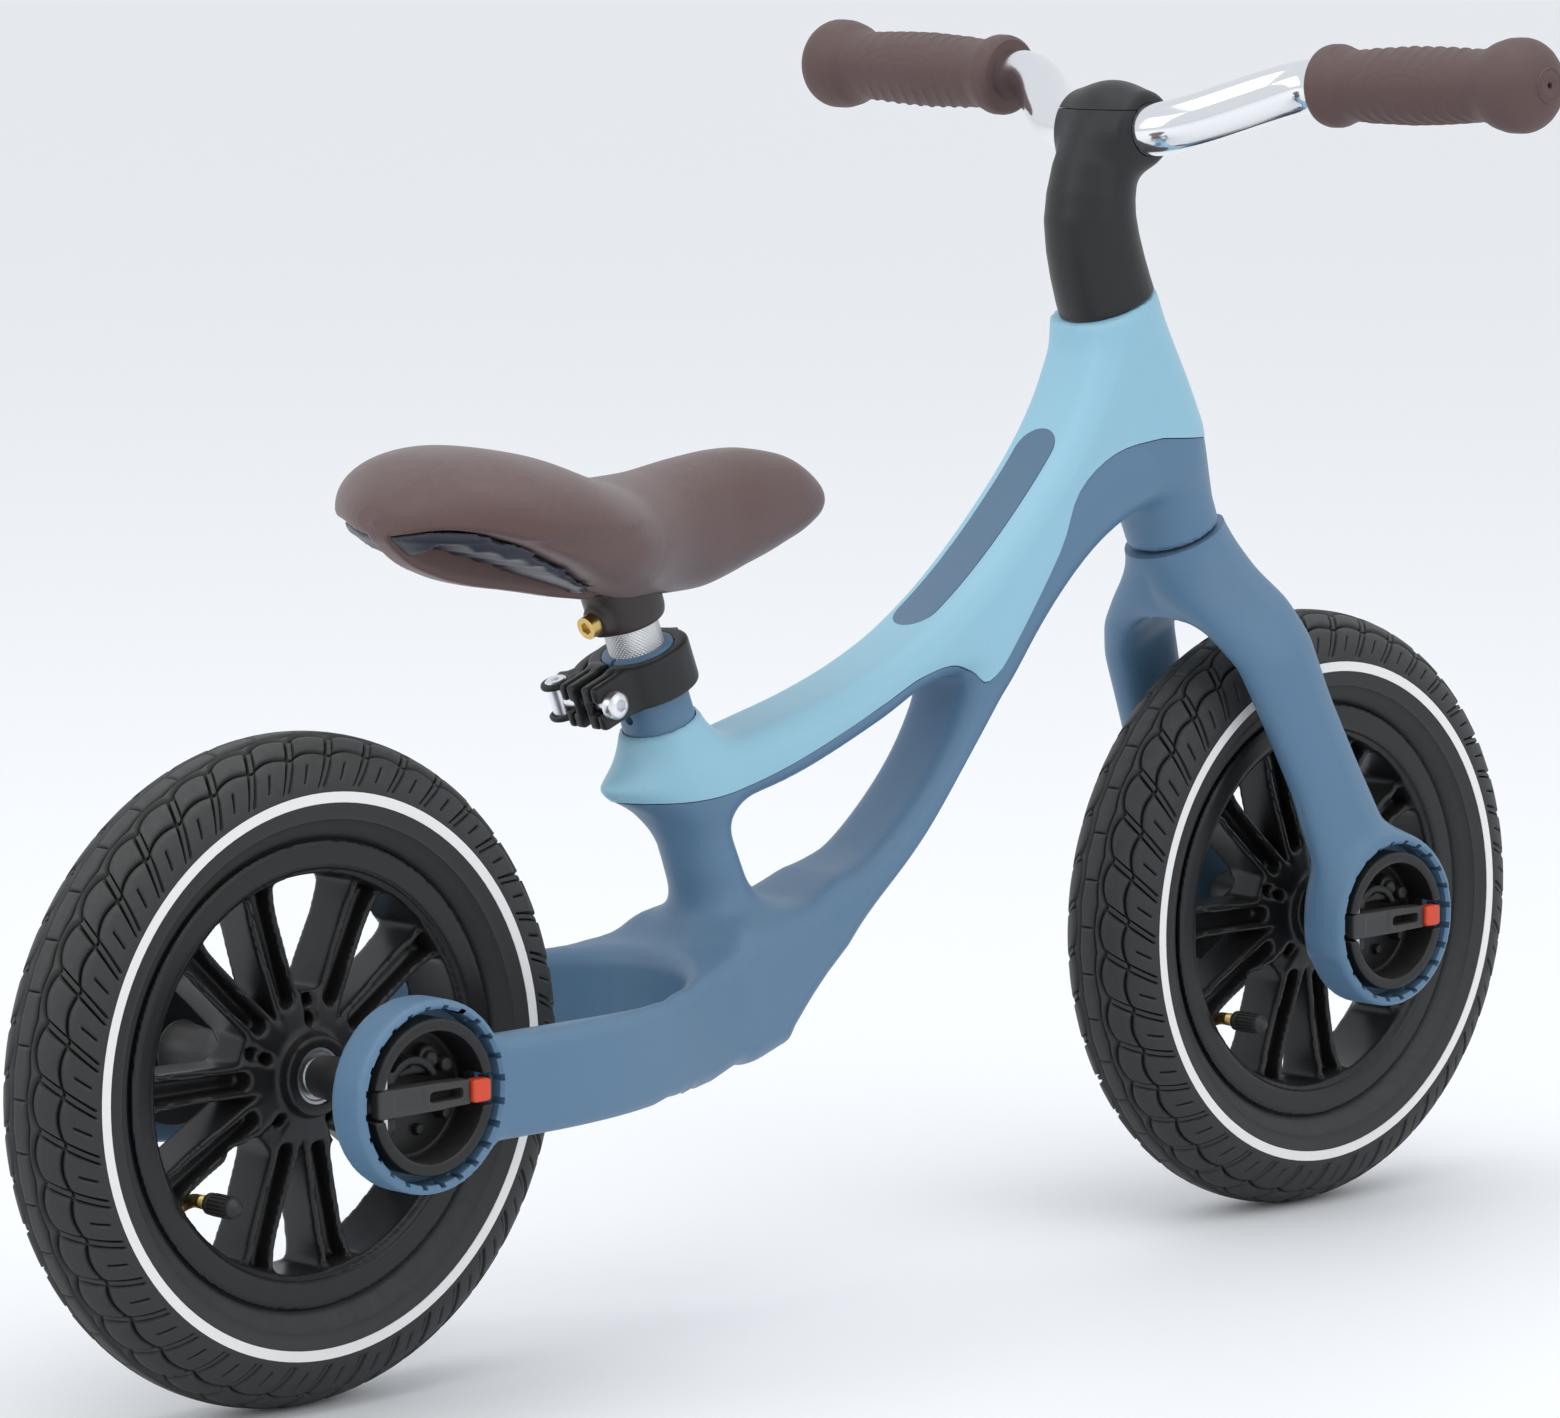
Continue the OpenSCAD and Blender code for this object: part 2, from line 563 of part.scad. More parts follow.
// A shape drawn in the wheel's plane, made thick across it
module across(width) rotate([90, 0, 0]) linear_extrude(width, center = true) children();
module rim() color([0.17, 0.17, 0.17]) difference() {
    union() {
        along_y() rotate_extrude() polygon([
            [spoke_in, -rim_w / 2 + 3], [rim_r - 9, -rim_w / 2], [rim_r, -rim_w / 2],
            [rim_r, -rim_w / 2 + 3], [rim_r - 5.4, -rim_w / 2 + 4], [rim_r - 7, 0],
            [rim_r - 5.4, rim_w / 2 - 4], [rim_r, rim_w / 2 - 3], [rim_r, rim_w / 2],
            [rim_r - 9, rim_w / 2], [spoke_in, rim_w / 2 - 3]]);
        along_y() cylinder(r = hub_r, h = hub_w, center = true);
        along_y() cylinder(r = web_r, h = hub_w - 14, center = true);
        across(hub_w - 12) for (angle = spoke_angles) rotate(angle)
            spoke_face(hub_r - 3, spoke_in + 1);
    }
    along_y() cylinder(r = bearing_r - 2, h = hub_w + 2, center = true);
    for (side = [0, 1]) mirror([0, side, 0]) translate([0, hub_w / 2 - bearing_w - 1, 0]) along_y()
        cylinder(r = bearing_r, h = bearing_w + 2);
    valve_hole();
}
valve_angle = 220;
valve_in = spoke_in - 10;
module valve_hole() rotate([0, -valve_angle, 0]) translate([valve_in + 4, 0, 0]) rotate([0, 90, 0])
    cylinder(r = 3, h = 30);
module valve_stem() color([0.72, 0.55, 0.2]) rotate([0, -valve_angle, 0]) {
    difference() {
        translate([valve_in, 0, 0]) rotate([0, 90, 0]) cylinder(r = 2.6, h = tread_c - 9 - valve_in);
        along_y() rotate_extrude() translate([tread_c + 1, 0]) circle(r = tyre_w / 2 - 5.5, $fn = 32);
    }
    translate([valve_in, 0, 0]) rotate([90, 0, 0]) cylinder(r = 2.6, h = 27);
    translate([valve_in, 0, 0]) sphere(r = 3.1, $fn = 24);
}
module valve_cap() color([0.1, 0.1, 0.1]) rotate([0, -valve_angle, 0])
    translate([valve_in, -14, 0]) rotate([90, 0, 0]) difference() {
        cylinder(r = 4.4, h = 17);
        translate([0, 0, -1]) cylinder(r = 2.6, h = 14);
    }
module bearings() color("silver") for (side = [0, 1]) mirror([0, side, 0])
    translate([0, hub_w / 2 - bearing_w - 0.8, 0]) along_y() difference() {
        cylinder(r = bearing_r, h = bearing_w);
        translate([0, 0, -1]) cylinder(r = axle_r + fit_gap, h = bearing_w + 2);
    }
module hub_spacer() color("silver") along_y() difference() {
    cylinder(r = axle_r + 2.5, h = hub_w - 2 * bearing_w - 1.6 - 2 * run_gap, center = true);
    cylinder(r = axle_r, h = hub_w, center = true);
}
// Cup floors sit this far inside the outer faces
cup_deep = 21.5;
module axle(track) color("silver") along_y()
    cylinder(r = axle_r, h = track - 2 * (cup_deep - cup_floor + 1), center = true);
module axle_sleeves(track) color([0.15, 0.15, 0.15]) for (side = [0, 1]) mirror([0, side, 0])
    translate([0, hub_w / 2 - 0.8 + run_gap, 0]) along_y() difference() {
        cylinder(r1 = axle_r + 3, r2 = axle_r + 8, h = track / 2 - cup_deep - hub_w / 2 + 0.3 - run_gap);
        translate([0, 0, -1]) cylinder(r = axle_r, h = 100);
    }

// ---- wheel locks --------------------------------------------------------------

// Drawn for the left side: the open mouth faces +Y, its rim at y = track / 2 - 0.5
hinge_x = -21.5;
bar_t = 7;
bar_heel = 5.5;
bar_back = 10.5;
module lock_side(side, track) mirror([0, side < 0 ? 1 : 0, 0])
    translate([0, track / 2 - 0.5, 0]) children();
module lock_cup() color([0.18, 0.18, 0.18]) difference() {
    union() {
        translate([0, -cup_deep, 0]) along_y() difference() {
            cylinder(r = cup_r, h = cup_deep);
            translate([0, 0, cup_floor]) cylinder(r = cup_r - cup_wall, h = cup_deep);
            translate([0, 0, -1]) cylinder(r = axle_r, h = cup_floor + 2);
        }
        for (up = [0, 1]) mirror([0, 0, up]) translate([-cup_r + 2, -cup_deep + 3, bar_h / 2 + run_gap])
            cube([12, cup_deep - 7, 5]);
    }
    translate([-cup_r - 1, -bar_back, -bar_h / 2 - run_gap]) cube([10, bar_back + 1, bar_h + 2 * run_gap]);
    translate([cup_r - 8, -bar_back, -bar_h / 2 - run_gap]) cube([10, bar_back + 1, bar_h + 2 * run_gap]);
    lock_pin(0);
}
module lock_pin(slack) translate([hinge_x, -bar_t / 2 - 0.5, 0])
    cylinder(r = 1.5 - slack, h = bar_h + 8, center = true);
module lock_bar() color([0.24, 0.24, 0.24]) difference() {
    translate([hinge_x - bar_heel, -bar_t - 0.3, -bar_h / 2])
        cube([cup_r - 0.4 - hinge_x + bar_heel, bar_t, bar_h]);
    translate([cup_r - 11.6, -bar_t - 1, -4.6]) cube([9.2, bar_t + 2, 9.2]);
    translate([-2, -bar_t - 1, -2]) cube([16, bar_t + 2, 4]);
    translate([hinge_x, -bar_t / 2 - 0.5, 0]) cylinder(r = 1.5 + fit_gap, h = bar_h + 2, center = true);
    // rounded heel that clears the cup's floor side as the bar swings out
    translate([hinge_x - 8, -bar_t - 2, -bar_h]) cube([5.5, 4, 2 * bar_h]);
}
module lock_button() color([0.94, 0.31, 0.18])
    translate([cup_r - 11.6 + 0.1, -bar_t + button_travel, -4.5]) cube([9, bar_t + 1.4 - button_travel, 9]);

// ---- the pieces, placed --------------------------------------------------------

module rear_tyre() placed() at_rear() tyre();
module rear_tyre_bands() color("white") placed() at_rear() band_rings();
module rear_inner_tube() placed() at_rear() inner_tube();
module rear_rim() placed() at_rear() rim();
module rear_bearings() placed() at_rear() bearings();
module rear_valve_stem() placed() at_rear() valve_stem();
module rear_valve_cap() placed() at_rear() valve_cap();
module rear_axle() placed() at_rear() axle(rear_track);
module rear_axle_sleeves() placed() at_rear() axle_sleeves(rear_track);
module rear_hub_spacer() placed() at_rear() hub_spacer();
module front_tyre() placed() at_front() tyre();
module front_tyre_bands() color("white") placed() at_front() band_rings();
module front_inner_tube() placed() at_front() inner_tube();
module front_rim() placed() at_front() rim();
module front_bearings() placed() at_front() bearings();
module front_valve_stem() placed() at_front() valve_stem();
module front_valve_cap() placed() at_front() valve_cap();
module front_axle() placed() at_front() axle(fork_track);
module front_axle_sleeves() placed() at_front() axle_sleeves(fork_track);
module front_hub_spacer() placed() at_front() hub_spacer();
module rear_lock_cup_left() placed() at_rear() lock_side(1, rear_track) lock_cup();
module rear_lock_cup_right() placed() at_rear() lock_side(-1, rear_track) lock_cup();
module rear_lock_pins() color("silver") placed() at_rear() for (side = [-1, 1])
    lock_side(side, rear_track) lock_pin(0);
module rear_lock_bar_left() placed() at_rear() lock_side(1, rear_track) lock_bar();
module rear_lock_bar_right() placed() at_rear() lock_side(-1, rear_track) lock_bar();
module rear_button_left() placed() at_rear() lock_side(1, rear_track) lock_button();
module rear_button_right() placed() at_rear() lock_side(-1, rear_track) lock_button();
module front_lock_cup_left() placed() at_front() lock_side(1, fork_track) lock_cup();
module front_lock_cup_right() placed() at_front() lock_side(-1, fork_track) lock_cup();
module front_lock_pins() color("silver") placed() at_front() for (side = [-1, 1])
    lock_side(side, fork_track) lock_pin(0);
module front_lock_bar_left() placed() at_front() lock_side(1, fork_track) lock_bar();
module front_lock_bar_right() placed() at_front() lock_side(-1, fork_track) lock_bar();
module front_button_left() placed() at_front() lock_side(1, fork_track) lock_button();
module front_button_right() placed() at_front() lock_side(-1, fork_track) lock_button();

main_frame();
top_tube_cover();
top_tube_badge();
head_sleeve();
headset_upper_bush();
headset_lower_bush();
seat_clamp_collar();
clamp_bolt();
clamp_barrel();
clamp_lever();
seat_post();
saddle_cushion();
saddle_base();
saddle_socket();
saddle_bolt();
fork();
steerer();
stem();
stem_cap();
stem_bolt();
handlebar();
grip_left();
grip_right();
rear_tyre();
rear_tyre_bands();
rear_inner_tube();
rear_rim();
rear_bearings();
rear_valve_stem();
rear_valve_cap();
rear_axle();
rear_axle_sleeves();
rear_hub_spacer();
front_tyre();
front_tyre_bands();
front_inner_tube();
front_rim();
front_bearings();
front_valve_stem();
front_valve_cap();
front_axle();
front_axle_sleeves();
front_hub_spacer();
rear_lock_cup_left();
rear_lock_cup_right();
rear_lock_pins();
rear_lock_bar_left();
rear_lock_bar_right();
rear_button_left();
rear_button_right();
front_lock_cup_left();
front_lock_cup_right();
front_lock_pins();
front_lock_bar_left();
front_lock_bar_right();
front_button_left();
front_button_right();
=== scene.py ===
import json
import math

import bmesh
import bpy
import numpy as np
from mathutils import Matrix, Vector


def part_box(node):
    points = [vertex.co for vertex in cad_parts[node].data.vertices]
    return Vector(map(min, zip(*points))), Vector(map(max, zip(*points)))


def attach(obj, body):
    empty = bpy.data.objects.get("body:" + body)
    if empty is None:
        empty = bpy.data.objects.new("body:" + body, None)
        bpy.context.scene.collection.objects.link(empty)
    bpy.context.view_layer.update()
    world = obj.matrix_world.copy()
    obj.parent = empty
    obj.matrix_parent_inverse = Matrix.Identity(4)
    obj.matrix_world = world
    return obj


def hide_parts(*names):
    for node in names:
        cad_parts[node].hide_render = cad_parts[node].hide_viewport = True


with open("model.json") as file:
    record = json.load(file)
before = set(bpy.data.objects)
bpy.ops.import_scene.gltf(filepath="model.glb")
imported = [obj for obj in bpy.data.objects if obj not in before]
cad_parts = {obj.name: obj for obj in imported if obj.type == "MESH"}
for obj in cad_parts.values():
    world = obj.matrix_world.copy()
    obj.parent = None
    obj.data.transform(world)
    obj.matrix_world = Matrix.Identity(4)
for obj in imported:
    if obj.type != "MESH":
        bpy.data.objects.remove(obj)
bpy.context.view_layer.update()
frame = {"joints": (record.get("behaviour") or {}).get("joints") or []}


# ---- camera --------------------------------------------------------------
# A long lens looks along the bike from behind its right side, a little above
# the saddle, turned a hair off level.
camera_place = (-2.0097, -2.0410, 0.5976)
camera_turn = math.radians(-44.23)
camera_rise = math.radians(7.17)
camera_roll = math.radians(-0.26)
lens_mm = 167.4

back = Vector((math.sin(camera_turn) * math.cos(camera_rise),
               -math.cos(camera_turn) * math.cos(camera_rise), math.sin(camera_rise)))
level = Vector((math.cos(camera_turn), math.sin(camera_turn), 0))
up = back.cross(level)
right = math.cos(camera_roll) * level + math.sin(camera_roll) * up
up = back.cross(right)
camera = bpy.data.objects.new("camera", bpy.data.cameras.new("camera"))
bpy.context.scene.collection.objects.link(camera)
camera.matrix_world = Matrix.Translation(camera_place) @ Matrix((right, up, back)).transposed().to_4x4()
camera.data.lens = lens_mm
camera.data.clip_end = 50
bpy.context.scene.camera = camera


# ---- floor and light -------------------------------------------------------
# A wide white floor, lit by large soft panels from above and from both sides,
# and by a pale sky.
def new_material(name):
    """An empty node material; returns it with its node list, links and shader."""
    material = bpy.data.materials.new(name)
    material.use_nodes = True
    tree = material.node_tree
    return material, tree.nodes, tree.links, tree.nodes["Principled BSDF"]


def mesh_piece(name, points, faces, sharp_deg=30):
    """A smooth-shaded mesh object at the origin, with hard edges past an angle."""
    mesh = bpy.data.meshes.new(name)
    mesh.from_pydata([tuple(p) for p in points], [], [tuple(f) for f in faces])
    mesh.polygons.foreach_set("use_smooth", [True] * len(mesh.polygons))
    mesh.set_sharp_from_angle(angle=math.radians(sharp_deg))
    piece = bpy.data.objects.new(name, mesh)
    bpy.context.scene.collection.objects.link(piece)
    return piece


def area_light(name, place, aim, size, watts, tint=(1, 1, 1)):
    """A soft panel of light turned to a point."""
    data = bpy.data.lights.new(name, "AREA")
    data.shape = "RECTANGLE"
    data.size, data.size_y = size
    data.energy = watts
    data.color = tint
    lamp = bpy.data.objects.new(name, data)
    bpy.context.scene.collection.objects.link(lamp)
    lamp.location = place
    lamp.rotation_euler = (Vector(aim) - Vector(place)).to_track_quat("-Z", "Y").to_euler()


floor_half = 60.0
floor = mesh_piece("floor", [(-floor_half, -floor_half, 0), (floor_half, -floor_half, 0),
                             (floor_half, floor_half, 0), (-floor_half, floor_half, 0)], [(0, 1, 2, 3)])
floor_white, nodes, links, shader = new_material("floor_white")
shader.inputs["Base Color"].default_value = (0.93, 0.935, 0.945, 1)
shader.inputs["Roughness"].default_value = 0.55
floor.data.materials.append(floor_white)

bpy.context.scene.view_settings.view_transform = "Standard"
world = bpy.data.worlds.new("studio")
bpy.context.scene.world = world
world.use_nodes = True
world.node_tree.nodes["Background"].inputs["Color"].default_value = (0.93, 0.96, 1.0, 1)
world.node_tree.nodes["Background"].inputs["Strength"].default_value = 0.9
area_light("top_panel", (-0.6, -0.5, 3.2), (0, 0, 0.2), (3.2, 3.2), 32)
area_light("left_panel", (-3.4, 0.9, 1.9), (0, 0, 0.25), (1.8, 2.4), 20)
area_light("right_panel", (0.6, -3.6, 1.7), (0, 0, 0.25), (2.4, 2.0), 13)


# ---- finishes of the mouldings ---------------------------------------------
# Every moulding has a fine spark-eroded grain, a little colour drift from the
# melt, edges polished by handling, and a breath of dust on what faces up.
def new_group(name, inputs, outputs):
    """An empty shader group with its sockets; returns it with its two end nodes."""
    tree = bpy.data.node_groups.new(name, "ShaderNodeTree")
    for label, kind, value in inputs:
        socket = tree.interface.new_socket(label, in_out="INPUT", socket_type=kind)
        socket.default_value = value
    for label, kind in outputs:
        tree.interface.new_socket(label, in_out="OUTPUT", socket_type=kind)
    return tree, tree.nodes.new("NodeGroupInput"), tree.nodes.new("NodeGroupOutput")


def math_node(tree, kind, first, second=None, clamp=False):
    """A math node fed by sockets or plain numbers; returns its result socket."""
    node = tree.nodes.new("ShaderNodeMath")
    node.operation = kind
    node.use_clamp = clamp
    for socket, value in zip(node.inputs, (first, second)):
        if isinstance(value, bpy.types.NodeSocket):
            tree.links.new(value, socket)
        elif value is not None:
            socket.default_value = value
    return node.outputs[0]


def noise_node(tree, vector, scale, detail=3.0, roughness=0.55):
    """Fractal noise read along a vector; returns its value socket."""
    node = tree.nodes.new("ShaderNodeTexNoise")
    tree.links.new(vector, node.inputs["Vector"])
    node.inputs["Detail"].default_value = detail
    node.inputs["Roughness"].default_value = roughness
    if isinstance(scale, bpy.types.NodeSocket):
        tree.links.new(scale, node.inputs["Scale"])
    else:
        node.inputs["Scale"].default_value = scale
    return node.outputs["Fac"]


grain_group, group_in, group_out = new_group(
    "moulded_grain",
    [("Grains Per Metre", "NodeSocketFloat", 1400.0), ("Drift", "NodeSocketFloat", 0.06)],
    [("Height", "NodeSocketFloat"), ("Shade", "NodeSocketFloat"), ("Gloss Shift", "NodeSocketFloat")])
place = grain_group.nodes.new("ShaderNodeTexCoord").outputs["Object"]
fine = noise_node(grain_group, place, group_in.outputs["Grains Per Metre"], 2.0)
patches = noise_node(grain_group, place, 9.0, 4.0)
grain_group.links.new(fine, group_out.inputs["Height"])
shade = math_node(grain_group, "MULTIPLY", math_node(grain_group, "SUBTRACT", patches, 0.5),
                  group_in.outputs["Drift"])
shade = math_node(grain_group, "ADD", shade, 1.0)
grain_group.links.new(shade, group_out.inputs["Shade"])
shift = math_node(grain_group, "MULTIPLY", math_node(grain_group, "SUBTRACT", patches, 0.5), 0.14)
grain_group.links.new(shift, group_out.inputs["Gloss Shift"])

wear_group, group_in, group_out = new_group(
    "edge_wear", [("Amount", "NodeSocketFloat", 0.5)], [("Mask", "NodeSocketFloat")])
place = wear_group.nodes.new("ShaderNodeTexCoord").outputs["Object"]
bend = wear_group.nodes.new("ShaderNodeNewGeometry").outputs["Pointiness"]
ridge = wear_group.nodes.new("ShaderNodeMapRange")
wear_group.links.new(bend, ridge.inputs["Value"])
ridge.inputs["From Min"].default_value = 0.52
ridge.inputs["From Max"].default_value = 0.62
patchy = noise_node(wear_group, place, 60.0, 4.0)
mask = math_node(wear_group, "MULTIPLY", ridge.outputs["Result"],
                 math_node(wear_group, "ADD", patchy, 0.2), clamp=True)
mask = math_node(wear_group, "MULTIPLY", mask, group_in.outputs["Amount"], clamp=True)
wear_group.links.new(mask, group_out.inputs["Mask"])

# Painted shade: places that curve inwards (low pointiness) get a mask that darkens their colour, standing in
# for the shade that falls in grooves and creases.
groove_shade_group, group_in, group_out = new_group(
    "painted_groove_shade", [("Amount", "NodeSocketFloat", 0.5)], [("Mask", "NodeSocketFloat")])
bend = groove_shade_group.nodes.new("ShaderNodeNewGeometry").outputs["Pointiness"]
valley = groove_shade_group.nodes.new("ShaderNodeMapRange")
groove_shade_group.links.new(bend, valley.inputs["Value"])
valley.inputs["From Min"].default_value = 0.496
valley.inputs["From Max"].default_value = 0.455
mask = math_node(groove_shade_group, "MULTIPLY", valley.outputs["Result"], group_in.outputs["Amount"], clamp=True)
groove_shade_group.links.new(mask, group_out.inputs["Mask"])

dust_group, group_in, group_out = new_group(
    "fine_dust", [("Amount", "NodeSocketFloat", 0.1)], [("Mask", "NodeSocketFloat")])
place = dust_group.nodes.new("ShaderNodeTexCoord").outputs["Object"]
facing = dust_group.nodes.new("ShaderNodeSeparateXYZ")
dust_group.links.new(dust_group.nodes.new("ShaderNodeNewGeometry").outputs["Normal"], facing.inputs[0])
specks = noise_node(dust_group, place, 240.0, 5.0, 0.7)
mask = math_node(dust_group, "MULTIPLY", facing.outputs["Z"], specks, clamp=True)
mask = math_node(dust_group, "MULTIPLY", mask, group_in.outputs["Amount"], clamp=True)
dust_group.links.new(mask, group_out.inputs["Mask"])


def add_group(tree, group, **values):
    """Places a shader group in a material with its own values."""
    node = tree.nodes.new("ShaderNodeGroup")
    node.node_tree = group
    for label, value in values.items():
        node.inputs[label.replace("_", " ")].default_value = value
    return node


def mixed(tree, factor, first, second):
    """Colour first turning into colour second by a factor socket."""
    node = tree.nodes.new("ShaderNodeMix")
    node.data_type = "RGBA"
    tree.links.new(factor, node.inputs["Factor"])
    sockets = [s for s in node.inputs if s.type == "RGBA"]
    for socket, value in zip(sockets, (first, second)):
        if isinstance(value, bpy.types.NodeSocket):
            tree.links.new(value, socket)
        else:
            socket.default_value = (*value, 1)
    return [s for s in node.outputs if s.type == "RGBA"][0]


def moulded_plastic(name, colour, roughness, grains=1400.0, relief=0.05, drift=0.08, worn=None,
                    wear=0.35, dust=0.10, gloss=0.45, groove_shade=0.0):
    """Plastic with grain, drift, polished edges, dust, and, where asked, painted shade that darkens its
    hollows.
    """
    material, nodes, links, shader = new_material(name)
    tree = material.node_tree
    grain = add_group(tree, grain_group, Grains_Per_Metre=grains, Drift=drift)
    scale = nodes.new("ShaderNodeVectorMath")
    scale.operation = "SCALE"
    scale.inputs[0].default_value = colour
    links.new(grain.outputs["Shade"], scale.inputs["Scale"])
    edges = add_group(tree, wear_group, Amount=wear)
    specks = add_group(tree, dust_group, Amount=dust)
    worn = worn or tuple(min(1.0, c * 1.25 + 0.02) for c in colour)
    tone = mixed(tree, edges.outputs["Mask"], scale.outputs["Vector"], worn)
    tone = mixed(tree, specks.outputs["Mask"], tone, (0.62, 0.61, 0.58))
    # Painted shade: the masked hollows turn to a quarter of the colour.
    if groove_shade:
        groove_shade_node = add_group(tree, groove_shade_group, Amount=groove_shade)
        tone = mixed(tree, groove_shade_node.outputs["Mask"], tone, tuple(0.25 * c for c in colour))
    links.new(tone, shader.inputs["Base Color"])
    rough = math_node(tree, "ADD", grain.outputs["Gloss Shift"], roughness)
    rough = math_node(tree, "ADD", rough, math_node(tree, "MULTIPLY", specks.outputs["Mask"], 0.5),
                      clamp=True)
    links.new(rough, shader.inputs["Roughness"])
    bump = nodes.new("ShaderNodeBump")
    bump.inputs["Distance"].default_value = 0.0004
    bump.inputs["Strength"].default_value = relief
    links.new(grain.outputs["Height"], bump.inputs["Height"])
    links.new(bump.outputs["Normal"], shader.inputs["Normal"])
    shader.inputs["Specular IOR Level"].default_value = gloss
    return material


# ---- frame moulding ----------------------------------------------------------
# One glass-filled nylon moulding: head, down tube, deck, stays and seat column flow
# together as a soft union of solids that is then skinned; bores, slits and the cover's
# seam are cut afterwards. Sizes are millimetres from the rear wheel's foot.
rear_low, rear_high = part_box("rear_rim")
front_low, front_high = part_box("front_rim")
rear_hub = (rear_low + rear_high) / 2
front_hub = (front_low + front_high) / 2
joints = {joint["name"]: joint for joint in frame["joints"]}
foot_x = rear_hub.x


def to_frame(point):
    """Millimetres from the rear wheel's foot to metres in the bike's frame."""
    return Vector((point[0] / 1000 + foot_x, point[1] / 1000, point[2] / 1000))


def soft_union(a, b, reach):
    """Joins two distance fields with a fillet about as wide as reach."""
    h = np.clip(0.5 + 0.5 * (b - a) / reach, 0, 1)
    return b + (a - b) * h - reach * h * (1 - h)


def soft_cut(a, b, reach):
    """Solid a with solid b taken away, their edge rounded."""
    return -soft_union(-a, b, reach)


def smooth_loop(points, steps=6, is_open=False):
    """A closed curve through the points, or an open one."""
    points = np.array(points, float)
    if is_open:
        ends = (2 * points[0] - points[1], 2 * points[-1] - points[-2])
        points = np.vstack([ends[0], points, ends[1]])
    before, after = np.roll(points, 1, 0), np.roll(points, -1, 0)
    beyond = np.roll(points, -2, 0)
    curve = []
    for t in np.arange(steps) / steps:
        curve.append(0.5 * (2 * points + (after - before) * t
                            + (2 * before - 5 * points + 4 * after - beyond) * t ** 2
                            + (3 * points - before - 3 * after + beyond) * t ** 3))
    curve = np.stack(curve, 1)
    if is_open:
        return np.vstack([curve[1:-2].reshape(-1, 2), points[-2:-1]])
    return curve.reshape(-1, 2)


def outline_field(loop, u, v):
    """Signed distance to a closed outline, negative inside, on flat grids u and v."""
    best = np.full(u.shape, 1e9)
    inside = np.zeros(u.shape, bool)
    for a, b in zip(loop, np.roll(loop, -1, 0)):
        edge = b - a
        along = np.clip(((u - a[0]) * edge[0] + (v - a[1]) * edge[1]) / max(edge @ edge, 1e-9), 0, 1)
        best = np.minimum(best, np.hypot(u - a[0] - along * edge[0], v - a[1] - along * edge[1]))
        if a[1] != b[1]:
            crosses = (a[1] > v) != (b[1] > v)
            inside ^= crosses & (u < (b[0] - a[0]) * (v - a[1]) / (b[1] - a[1]) + a[0])
    return np.where(inside, -best, best)


def round_meet(a, b, radius):
    """What lies in both a and b, with its edges rounded to a radius."""
    p, q = a + radius, b + radius
    return np.hypot(np.maximum(p, 0), np.maximum(q, 0)) + np.minimum(np.maximum(p, q), 0) - radius


def surface_net(field):
    """One point for each grid cell the surface crosses, and the quads that join them."""
    inside = field < 0
    votes = sum(inside[i:inside.shape[0] - 1 + i, j:inside.shape[1] - 1 + j, k:inside.shape[2] - 1 + k]
                .astype(np.int8) for i in (0, 1) for j in (0, 1) for k in (0, 1))
    mixed_cells = (votes > 0) & (votes < 8)
    cells = np.argwhere(mixed_cells)
    number = np.full(mixed_cells.shape, -1)
    number[mixed_cells] = np.arange(len(cells))
    place = np.zeros((len(cells), 3))
    found = np.zeros(len(cells))
    faces = []
    for axis in range(3):
        first, second = (axis + 1) % 3, (axis + 2) % 3
        for i in (0, 1):
            for j in (0, 1):
                p = cells.copy()
                p[:, first] += i
                p[:, second] += j
                q = p.copy()
                q[:, axis] += 1
                f, g = field[tuple(p.T)], field[tuple(q.T)]
                hit = (f < 0) != (g < 0)
                spot = p[hit].astype(float)
                spot[:, axis] += f[hit] / (f[hit] - g[hit])
                place[hit] += spot
                found[hit] += 1
        ahead = np.moveaxis(inside, axis, 0)
        edges = np.argwhere(np.moveaxis(ahead[1:] != ahead[:-1], 0, axis))
        fits = (edges[:, first] > 0) & (edges[:, second] > 0)
        fits &= (edges[:, first] < field.shape[first] - 1) & (edges[:, second] < field.shape[second] - 1)
        edges = edges[fits]
        step_a, step_b = np.eye(3, dtype=int)[first], np.eye(3, dtype=int)[second]
        quad = np.stack([number[tuple((edges - s).T)]
                         for s in (step_a + step_b, step_b, 0 * step_a, step_a)], 1)
        outer = inside[tuple(edges.T)]
        faces.append(np.where(outer[:, None], quad, quad[:, ::-1]))
    return cells, place / found[:, None], np.concatenate(faces)


def skin(name, field, low, step, sharp_deg=180, placed=None, evened=0):
    """A closed mesh where a solid's distance field is zero; placed turns mm into the bike's metres."""
    field = np.array(field, float)
    for _ in range(12):
        cells, place, faces = surface_net(field)
        ends = np.sort(np.stack([faces, np.roll(faces, -1, 1)], 2).reshape(-1, 2), 1)
        pairs, uses = np.unique(ends[:, 0] * len(cells) + ends[:, 1], return_counts=True)
        pinched = pairs[uses != 2]
        if not len(pinched):
            break
        for cell in cells[np.unique(np.concatenate([pinched // len(cells), pinched % len(cells)]))]:
            i, j, k = np.clip(cell, 2, np.array(field.shape) - 5)
            patch = field[i - 2:i + 5, j - 2:j + 5, k - 2:k + 5]
            field[i - 1:i + 4, j - 1:j + 4, k - 1:k + 4] = sum(
                patch[p:p + 5, q:q + 5, r:r + 5] for p in range(3) for q in range(3) for r in range(3)) / 27
    placed = placed or to_frame
    piece = mesh_piece(name, [placed(p) for p in (np.array(low) + step * place).tolist()], faces, sharp_deg)
    if evened:
        modifier = piece.modifiers.new("evened", "SMOOTH")
        modifier.factor = 0.5
        modifier.iterations = evened
        plain_mesh(piece)
    return piece


